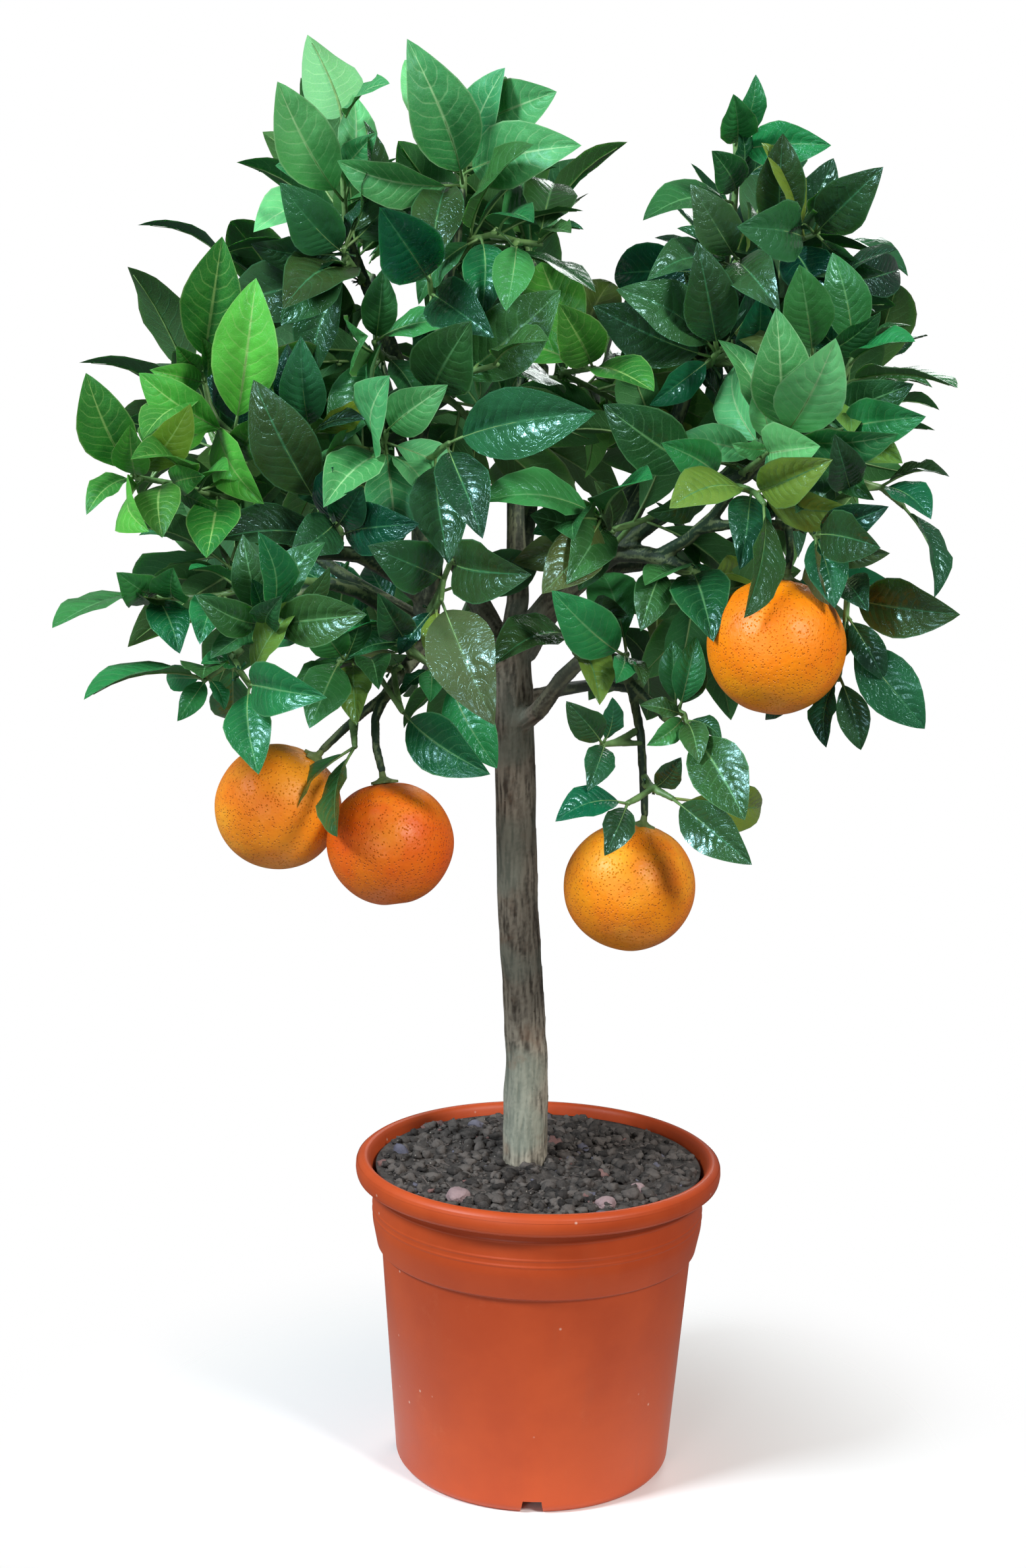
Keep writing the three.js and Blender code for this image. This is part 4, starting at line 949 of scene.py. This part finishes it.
# ---------------------------------------------------------------- wood
@dataclass(frozen=True)
class Wood:
    """The trunk and its limbs, smooth and round, with bark that runs along them."""

    voxel: float = 1.35 * MM
    rounds: int = 7
    fork: tuple[float, float, float] = (-0.022, -0.004, 0.50)
    old_reach: float = 0.09
    fissure: float = 0.75 * MM
    ripple: float = 0.55 * MM
    swell: float = 1.2 * MM
    stride: float = 1.7 * MM
    samples: int = 4

    def _grain(self, mesh: bpy.types.Mesh) -> np.ndarray:
        """The direction of the wood at each point: the one that its nearby normals share least.

        Args:
            mesh: The wood's mesh.

        Returns:
            One unit vector for each point.
        """
        count = len(mesh.vertices)
        normals = np.empty(count * 3, np.float32)
        mesh.vertices.foreach_get("normal", normals)
        normals = normals.reshape(-1, 3)
        ends = np.empty(len(mesh.edges) * 2, np.int32)
        mesh.edges.foreach_get("vertices", ends)
        first, second = ends.reshape(-1, 2).T
        share = 1.0 + np.bincount(ends, minlength=count)
        spread = np.einsum("ni,nj->nij", normals, normals).reshape(count, 9).astype(float)
        for _ in range(14):
            total = spread.copy()
            for column in range(9):
                total[:, column] += np.bincount(first, spread[second, column], count)
                total[:, column] += np.bincount(second, spread[first, column], count)
            spread = total / share[:, None]
        return np.linalg.eigh(spread.reshape(-1, 3, 3))[1][:, :, 0]

    def _age(self, place: Vector) -> float:
        """How old the bark is at a place, from 0 on young limbs to 1 on the trunk."""
        if math.hypot(place.x + 0.016, place.y) < 0.021 and place.z < self.fork[2]:
            return 1.0
        return min(1.0, max(0.0, 1.05 - (place - Vector(self.fork)).length / self.old_reach))

    def build(self) -> None:
        """Remeshes the frame's wood, roughens it along the grain and dresses it."""
        bm = evened(frame_copy("trunk_and_limbs"), self.voxel, self.rounds)
        mesh = bpy.data.meshes.new("grain")
        bm.to_mesh(mesh)
        grain = self._grain(mesh)
        bpy.data.meshes.remove(mesh)
        layer = bm.verts.layers.float_color.new("grain")
        bm.normal_update()
        steps = range(-self.samples, self.samples + 1)
        rows = []
        for vert in bm.verts:
            along = Vector(grain[vert.index]) * self.stride
            age = self._age(vert.co)
            coarse = sum(noise.noise((vert.co + along * k) * 560) for k in steps) / len(steps)
            fine = sum(noise.noise((vert.co + along * (0.6 * k)) * 900) for k in steps) / len(steps)
            streak = min(1.0, max(0.0, 0.5 + 1.5 * coarse + 1.0 * fine))
            moss = 0.5 + 0.8 * noise.noise(vert.co * 40)
            depth = self.fissure * (0.35 + 0.65 * age) * min(0.0, streak - 0.5) \
                + self.ripple * age * noise.noise(vert.co * 55) + self.swell * (0.4 + 0.6 * age)
            rows.append((vert, vert.normal * depth, (streak, age, moss, 1.0)))
        for vert, push, values in rows:
            vert.co += push
            vert[layer] = values
        crease(bm, math.pi)
        finish_piece("trunk_wood", bm, [bark_material()], "bark", "trunk_and_limbs")


# ---------------------------------------------------------------- fruit
@dataclass(frozen=True)
class Orange:
    """One fruit with its calyx."""

    number: int
    peel: PeelFinish
    shoulder: float = 0.0
    flat_top: float = 1.3
    navel: float = 0.9
    uneven: float = 0.5
    rib: float = 0.25
    ribs: int = 9
    button: float = 6.6 * MM
    button_depth: float = 1.3 * MM
    stalk_foot: float = 2.3 * MM
    stalk_end: float = 1.5 * MM
    stalk_grip: float = 6.0 * MM

    def build(self) -> None:
        """Makes the fruit and its calyx where the frame has them."""
        fruit, button = f"orange_{self.number}", f"calyx_{self.number}"
        middle, _ = middle_and_reach(fruit)
        axis = (middle_and_reach(button)[0] - middle).normalized()
        arms = [Vector(vert.co) - middle for vert in frame["nodes"][fruit].data.vertices]
        along = max(arm.dot(axis) for arm in arms)
        across = max((arm - axis * arm.dot(axis)).length for arm in arms)
        turn = turn_to(axis)
        bm = bmesh.new()
        bmesh.ops.create_icosphere(bm, subdivisions=6, radius=1.0)
        for vert in bm.verts:
            polar = math.acos(max(-1.0, min(1.0, vert.co.z)))
            dents = self.flat_top * math.exp(-((polar / 0.34) ** 2)) \
                + self.navel * math.exp(-(((math.pi - polar) / 0.15) ** 2))
            lumps = self.uneven * noise.noise(vert.co * 1.7 + Vector((self.number * 7.0, 0, 0)))
            way = math.atan2(vert.co.y, vert.co.x)
            ribs = self.rib * math.exp(-(((polar - 0.4) / 0.3) ** 2)) * math.sin(self.ribs * way)
            raised = self.shoulder * max(0.0, vert.co.z) ** 3
            size = 1.0 + (raised + lumps - dents + ribs - self.uneven * 0.5) * MM / across
            vert.co = Vector((vert.co.x * across, vert.co.y * across, vert.co.z * along)) * size
        bmesh.ops.transform(bm, matrix=Matrix.Translation(middle) @ turn, verts=bm.verts)
        crease(bm, math.pi)
        finish_piece(f"fruit_{self.number}", bm, [self.peel.material()], "orange_peel", fruit)
        self._calyx(button, middle + axis * along, turn)

    def _calyx(self, node: str, seat: Vector, turn: Matrix) -> None:
        """The five-lobed button on the fruit's top.

        Args:
            node: The frame node that it stands for.
            seat: The top of the fruit.
            turn: The turn from +Z to the fruit's axis.
        """
        bm = bmesh.new()
        bmesh.ops.create_circle(bm, cap_ends=True, segments=60, radius=self.button)
        for _ in range(4):
            core = [face for face in bm.faces if len(face.verts) > 4]
            bmesh.ops.inset_individual(bm, faces=core, thickness=self.button / 6)
        walls = bmesh.ops.extrude_face_region(bm, geom=bm.faces[:])
        lower = [item for item in walls["geom"] if isinstance(item, bmesh.types.BMVert)]
        bmesh.ops.translate(bm, verts=lower, vec=(0, 0, -self.button_depth))
        for vert in bm.verts:
            r = vert.co.xy.length
            way = math.atan2(vert.co.y, vert.co.x)
            share = r / self.button
            lobe = 1.0 + 0.20 * share ** 2 * math.cos(5 * way) + 0.03 * math.sin(13 * way)
            rise = 2.7 * math.exp(-((r / (2.6 * MM)) ** 2)) - 1.2 * share ** 2
            vert.co = Vector((vert.co.x * lobe, vert.co.y * lobe, vert.co.z + (rise + 0.9) * MM))
        bmesh.ops.recalc_face_normals(bm, faces=bm.faces)
        bmesh.ops.transform(bm, matrix=Matrix.Translation(seat) @ turn, verts=bm.verts)
        self._stalk(bm, seat)
        crease(bm, math.radians(50))
        finish_piece(f"button_{self.number}", bm, [calyx_material()], "calyx", node)

    def _stalk(self, bm: bmesh.types.BMesh, seat: Vector) -> None:
        """The last of the stalk, from the fruit up into the end of its limb.

        Args:
            bm: The calyx's mesh, which the stalk is added to.
            seat: The top of the fruit.
        """
        wood = bpy.data.objects["trunk_wood"].data.vertices
        tip = min((vert.co for vert in wood), key=lambda place: (place - seat).length)
        near = [vert.co for vert in wood if (vert.co - tip).length < self.stalk_grip]
        run = sum(near, Vector()) / len(near) - seat
        bmesh.ops.create_cone(
            bm, cap_ends=True, segments=14, radius1=self.stalk_foot, radius2=self.stalk_end,
            depth=run.length, matrix=Matrix.Translation(seat + run / 2) @ turn_to(run.normalized()))


# ---------------------------------------------------------------- leaves
class Face(Enum):
    """The material slots of a shoot."""

    UPPER = 0
    UNDER = 1
    STEM = 2


@dataclass(frozen=True)
class LeafPlan:
    """What all leaves share: how the frame draws them, and how far the real ones stray from that.

    Lengths are in metres but for wave_height, which is in millimetres. Angles are in radians.
    """

    stalk: float = 0.14
    arch: float = 0.09
    fold: float = 0.3
    rib_gap: tuple[float, float] = (0.7 * MM, 1.4 * MM)
    least_width: float = 4.0 * MM
    waves: float = 2.4
    wave_lag: float = 1.9
    thickness: float = 0.56 * MM
    groove: float = 0.35 * MM
    fold_change: tuple[float, float] = (0.6, 1.9)
    wave_height: tuple[float, float] = (0.5, 1.9)
    curl_share: tuple[float, float] = (-0.02, 0.13)
    twist_limit: float = 0.45
    bow_limit: float = 0.045
    yellow_chance: float = 0.04
    dry_chance: float = 0.02
    companion_turn: tuple[float, float] = (0.55, 1.1)
    companion_tilt: tuple[float, float] = (-0.5, 0.35)
    companion_size: tuple[float, float] = (0.62, 0.88)


@dataclass
class Leaf:
    """One leaf of the frame, and how the real one differs from the plain one."""

    foot: Vector
    along: Vector
    up: Vector
    length: float
    half: float
    plan: LeafPlan
    fold: float = 0.3
    wave: float = 0.0
    phase: float = 0.0
    twist: float = 0.0
    curl: float = 0.0
    bow: float = 0.0
    tint: tuple[float, float, float, float] = (0.5, 0.0, 0.0, 1.0)
    side: Vector = field(init=False)

    def __post_init__(self) -> None:
        """Works out the direction across the leaf."""
        self.side = self.along.cross(self.up).normalized()

    def vary(self, dice: random.Random) -> None:
        """Gives the leaf its own waves, twist and colour."""
        plan = self.plan
        self.fold = plan.fold * dice.uniform(*plan.fold_change)
        self.wave = dice.uniform(*plan.wave_height) * MM
        self.phase = dice.uniform(0.0, math.tau)
        self.twist = dice.uniform(-plan.twist_limit, plan.twist_limit)
        self.curl = dice.uniform(*plan.curl_share) * self.length
        self.bow = dice.uniform(-plan.bow_limit, plan.bow_limit) * self.length
        yellow = dice.uniform(0.3, 0.6) if dice.random() < plan.yellow_chance else dice.uniform(0.0, 0.10)
        dry = dice.uniform(0.15, 0.45) if dice.random() < plan.dry_chance else 0.0
        self.tint = (0.05 + 0.9 * dice.random() ** 2, yellow, dry, 1.0)

    def companion(self, dice: random.Random) -> "Leaf":
        """A smaller leaf from the same place on the twig, turned away from this one."""
        swing = Matrix.Rotation(dice.choice((-1, 1)) * dice.uniform(*self.plan.companion_turn), 3, self.up)
        tilt = Matrix.Rotation(dice.uniform(*self.plan.companion_tilt), 3, self.side)
        along, up = swing @ (tilt @ self.along), swing @ (tilt @ self.up)
        size = dice.uniform(*self.plan.companion_size)
        return Leaf(self.foot, along, up, self.length * size, self.half * size, self.plan)

    def spine(self, v: float) -> Vector:
        """The place on the midrib at a share of the leaf's length."""
        arch = self.plan.arch * self.length * 4 * v * (1 - v)
        tail = max(0.0, v - 0.55) / 0.45
        bow = self.bow * 4 * v * (1 - v)
        lift = arch - self.curl * tail * tail
        return self.foot + self.along * (v * self.length) + self.up * lift + self.side * bow

    def blade(self, x: float, w: float, z: float) -> Vector:
        """The place of one point of the flat blade.

        Args:
            x: Across, from -0.5 to 0.5 between the edges at the widest place.
            w: Along the blade, from 0 to 1.
            z: 1 on the upper face, -1 on the lower one, 0 at the edge.

        Returns:
            The place in the frame.
        """
        v = self.plan.stalk + (1 - self.plan.stalk) * w
        reach = abs(x) * 2 * self.half
        share = min(1.0, reach / max(self.half, 1e-6))
        lift = math.sin(self.fold) * reach * (1 - 0.4 * share * share)
        lag = self.plan.wave_lag if x > 0 else 0.0
        ripple = self.wave * math.sin(math.tau * self.plan.waves * w + self.phase + lag) * share * share
        groove = -self.plan.groove * math.exp(-((reach / (1.2 * MM)) ** 2)) if z > 0 else 0.0
        turn = self.twist * (w - 0.4)
        across = math.copysign(reach, x) * math.cos(self.fold)
        height = lift + ripple + groove + self.plan.thickness / 2 * z
        c, s = math.cos(turn), math.sin(turn)
        return self.spine(v) + self.side * (across * c - height * s) + self.up * (height * c + across * s)

    def rib(self, x: float, v: float, z: float) -> Vector:
        """The place of one point of the stalk and midrib."""
        sunk = -0.45 * MM * min(1.0, v / self.plan.stalk)
        return self.spine(v) + self.side * x + self.up * (z + sunk)


@dataclass(frozen=True)
class LeafPattern:
    """The flat blade and the straight rib that every leaf is bent from."""

    columns: int = 6
    rows: int = 12
    stalk_radius: float = 0.95 * MM
    rib_end: float = 0.93
    crowding: float = 0.075

    @staticmethod
    def outline(w: float) -> float:
        """The half width of the blade, as a share of the greatest, from its base at 0 to its tip at 1."""
        return max(0.0, math.sin(math.pi * min(1.0, w) ** 0.98)) ** 0.84

    def blade(self) -> bpy.types.Mesh:
        """A thin closed blade in flat coordinates: x across, y along, z 1 above and -1 below."""
        bm = bmesh.new()
        uv = bm.loops.layers.uv.new("UVMap")
        bmesh.ops.create_grid(bm, x_segments=self.columns, y_segments=self.rows, size=0.5)
        for vert in bm.verts:
            vert.co.x = math.copysign(abs(2 * vert.co.x) ** 1.35 / 2, vert.co.x)
            vert.co.y += 0.5
            vert.co.y -= self.crowding * math.sin(math.tau * vert.co.y)
        for face in bm.faces:
            for loop in face.loops:
                loop[uv].uv = (loop.vert.co.x + 0.5, loop.vert.co.y)
        if bm.faces[:][0].normal.z < 0:
            bmesh.ops.reverse_faces(bm, faces=bm.faces)
        copy = bmesh.ops.duplicate(bm, geom=bm.verts[:] + bm.edges[:] + bm.faces[:])["geom"]
        below = [item for item in copy if isinstance(item, bmesh.types.BMFace)]
        bmesh.ops.reverse_faces(bm, faces=below)
        low = {vert for face in below for vert in face.verts}
        for face in below:
            face.material_index = Face.UNDER.value
        for vert in bm.verts:
            rim = abs(vert.co.x) > 0.499 or abs(vert.co.y - 0.5) > 0.4999
            level = 0.0 if rim else -1.0 if vert in low else 1.0
            vert.co = Vector((vert.co.x * self.outline(vert.co.y), vert.co.y, level))
        bmesh.ops.remove_doubles(bm, verts=bm.verts, dist=1e-5)
        for face in bm.faces:
            face.smooth = True
        for edge in bm.edges:
            edge.smooth = len({face.material_index for face in edge.link_faces}) == 1
        return as_pattern("leaf_blade", bm)

    def rib(self) -> bpy.types.Mesh:
        """A tapering rod: y along the leaf, x and z in metres."""
        bm = bmesh.new()
        bm.loops.layers.uv.new("UVMap")
        bmesh.ops.create_cone(bm, cap_ends=True, segments=5, radius1=self.stalk_radius,
                              radius2=0.22 * MM, depth=1.0)
        sides = [edge for edge in bm.edges if edge.calc_length() > 0.5]
        bmesh.ops.subdivide_edges(bm, edges=sides, cuts=6)
        for vert in bm.verts:
            vert.co = Vector((vert.co.x, (vert.co.z + 0.5) * self.rib_end, vert.co.y))
        bmesh.ops.recalc_face_normals(bm, faces=bm.faces)
        for face in bm.faces:
            face.smooth = True
            face.material_index = Face.STEM.value
        return as_pattern("leaf_rib", bm)


class LeafReader:
    """Finds the leaves in a shoot of the frame."""

    def __init__(self, plan: LeafPlan) -> None:
        """Keeps the plan that the frame's leaves follow."""
        self.plan = plan

    def read(self, bm: bmesh.types.BMesh) -> tuple[list[Leaf], list[bmesh.types.BMVert]]:
        """Finds each leaf by its tip, where the two margins and the two sides of the midrib meet.

        Args:
            bm: A merged copy of the shoot.

        Returns:
            The leaves, and the mesh points of their blades.
        """
        leaves, points = [], []
        for tip in bm.verts:
            ring = [edge.other_vert(tip) for edge in tip.link_edges]
            if len(ring) != 4:
                continue
            pairs = [(a, b) for k, a in enumerate(ring) for b in ring[k + 1:]]
            spine = min(pairs, key=lambda pair: (pair[0].co - pair[1].co).length)
            margin = [vert for vert in ring if vert not in spine]
            gap = (spine[0].co - spine[1].co).length
            width = (margin[0].co - margin[1].co).length
            if not self.plan.rib_gap[0] < gap < self.plan.rib_gap[1] or width < self.plan.least_width:
                continue
            leaves.append(self._leaf(tip.co, spine, margin))
            points += [*ring, tip]
        return leaves, list(dict.fromkeys(points))

    def _leaf(self, tip: Vector, spine: Iterable, margin: Iterable) -> Leaf:
        """The leaf with this tip, two midrib points and two margin points.

        Args:
            tip: The leaf's tip.
            spine: The upper and lower point of the midrib halfway.
            margin: The left and right edge halfway.

        Returns:
            The leaf.
        """
        spine, margin = list(spine), list(margin)
        middle = (spine[0].co + spine[1].co) / 2
        up = ((margin[0].co + margin[1].co) / 2 - middle).normalized()
        length = (tip - middle).length / math.hypot(0.5, self.plan.arch)
        along = ((tip - middle + up * self.plan.arch * length) * 2).normalized()
        up = (up - along * up.dot(along)).normalized()
        half = (margin[0].co - margin[1].co).length / 2 / math.cos(self.plan.fold)
        return Leaf(tip - along * length, along, up, length, half, self.plan)


class Crown:
    """All the leafy shoots."""

    twig_voxel = 0.8 * MM
    twig_rounds = 2
    twig_swell = 0.25 * MM
    rod = 1.5 * MM
    least_run = 0.2 * MM
    bite = 2.0 * MM
    crumb = 90
    seed = 4021
    companions = 0.5

    def __init__(self) -> None:
        """Makes the patterns and the materials that every shoot shares."""
        pattern = LeafPattern()
        self.blade, self.rib = pattern.blade(), pattern.rib()
        self.reader = LeafReader(LeafPlan())
        self.stem = stem_material()
        self.faces = {slot: (finish.upper(), finish.lower()) for slot, finish in LEAF_FINISHES.items()}
        points = bpy.data.objects["trunk_wood"].data.vertices
        self.wood = kdtree.KDTree(len(points))
        for point in points:
            self.wood.insert(point.co, point.index)
        self.wood.balance()

    def _twig(self, rough: bmesh.types.BMesh, points: list, leaves: list[Leaf]) -> bmesh.types.BMesh:
        """The shoot's bare twig, round and closed.

        Args:
            rough: The merged copy of the shoot.
            points: The points of its blades, which are taken away.
            leaves: Its leaves.

        Returns:
            The twig.
        """
        bmesh.ops.delete(rough, geom=points, context="VERTS")
        loose = [vert for vert in rough.verts if not vert.link_faces]
        bmesh.ops.delete(rough, geom=loose, context="VERTS")
        open_edges = [edge for edge in rough.edges if edge.is_boundary]
        bmesh.ops.holes_fill(rough, edges=open_edges, sides=0)
        bmesh.ops.triangulate(rough, faces=rough.faces)
        bmesh.ops.recalc_face_normals(rough, faces=rough.faces)
        for start, end in self._runs([leaf.foot for leaf in leaves]):
            run = end - start
            if run.length > self.least_run:
                bmesh.ops.create_cone(
                    rough, cap_ends=True, segments=10, radius1=self.rod, radius2=self.rod,
                    depth=run.length + self.rod,
                    matrix=Matrix.Translation((start + end) / 2) @ turn_to(run.normalized()))
        twig = self._without_crumbs(evened(rough, self.twig_voxel, self.twig_rounds))
        twig.normal_update()
        for vert in twig.verts:
            vert.co += vert.normal * self.twig_swell
        return twig

    def _without_crumbs(self, twig: bmesh.types.BMesh) -> bmesh.types.BMesh:
        """The twig in a fresh mesh, without the loose crumbs that thin stalks leave behind.

        Args:
            twig: The twig with its crumbs, which is used up.

        Returns:
            The clean twig. Being fresh, it has no gaps in its point list, as add_bent needs.
        """
        waiting = set(twig.verts)
        while waiting:
            patch, rim = set(), {waiting.pop()}
            while rim:
                patch |= rim
                rim = {edge.other_vert(vert) for vert in rim for edge in vert.link_edges} - patch
            waiting -= patch
            if len(patch) < self.crumb:
                bmesh.ops.delete(twig, geom=list(patch), context="VERTS")
        clean = as_pattern("twig", twig)
        whole = bmesh.new()
        whole.from_mesh(clean)
        bpy.data.meshes.remove(clean)
        return whole

    def _runs(self, feet: list[Vector]) -> list[tuple[Vector, Vector]]:
        """The straight stretches that join the feet of the leaves to each other and to the nearest wood.

        Args:
            feet: Where the leaves grow out of the twig.

        Returns:
            The two ends of each stretch. The first one runs into the wood.
        """
        first = min(feet, key=lambda foot: self.wood.find(foot)[2])
        bark = self.wood.find(first)[0]
        runs = [(first, bark + (bark - first).normalized() * self.bite)]
        joined, waiting = [first], [foot for foot in feet if foot is not first]
        while waiting:
            pairs = [(a, b) for a in joined for b in waiting]
            start, end = min(pairs, key=lambda pair: (pair[0] - pair[1]).length)
            runs.append((start, end))
            joined.append(end)
            waiting.remove(end)
        return runs

    def shoot(self, node: str, slot: str, number: int) -> int:
        """Makes one shoot.

        Args:
            node: The frame node.
            slot: Its material slot, which names the age of its leaves.
            number: Its place in the list, which seeds it.

        Returns:
            How many leaves it has.
        """
        dice = random.Random(self.seed + number)
        rough = frame_copy(node)
        leaves, points = self.reader.read(rough)
        bm = self._twig(rough, points, leaves)
        bm.loops.layers.uv.new("UVMap")
        layer = bm.verts.layers.float_color.new("leaf_tint")
        for face in bm.faces:
            face.smooth = True
            face.material_index = Face.STEM.value
        for vert in bm.verts:
            vert[layer] = (0.3, 0.0, 0.0, 1.0)
        extra = [leaf.companion(dice) for leaf in leaves if dice.random() < self.companions]
        for leaf in leaves + extra:
            leaf.vary(dice)
            add_bent(bm, self.blade, leaf.blade, "leaf_tint", leaf.tint)
            add_bent(bm, self.rib, leaf.rib, "leaf_tint", leaf.tint)
        materials = [*self.faces[slot], self.stem]
        finish_piece(node.replace("shoot_", "leafy_"), bm, materials, slot, node)
        return len(leaves) + len(extra)

    def build(self) -> None:
        """Makes every shoot."""
        total = 0
        rows = [row for row in frame["record"]["subparts"] if row["node"].startswith("shoot_")]
        for number, row in enumerate(rows):
            total += self.shoot(row["node"], row["material_slot"], number)
        log.info("leaves: %d", total)


# ---------------------------------------------------------------- the whole tree
def write_sizes() -> None:
    """Brings the scene's view layer up to date."""
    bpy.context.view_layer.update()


def main() -> None:
    """Builds the view, the pot, the soil, the wood, the fruit and the crown."""
    logging.basicConfig(level=logging.INFO, format="%(name)s %(message)s")
    Viewpoint().build()
    Studio().build()
    Pot().build()
    Soil().build()
    Wood().build()
    for number, peel in enumerate(PEELS, start=1):
        Orange(number, peel, shoulder=1.2 if number == 3 else 0.0).build()
    Crown().build()
    write_sizes()


if __name__ == "__main__":
    main()
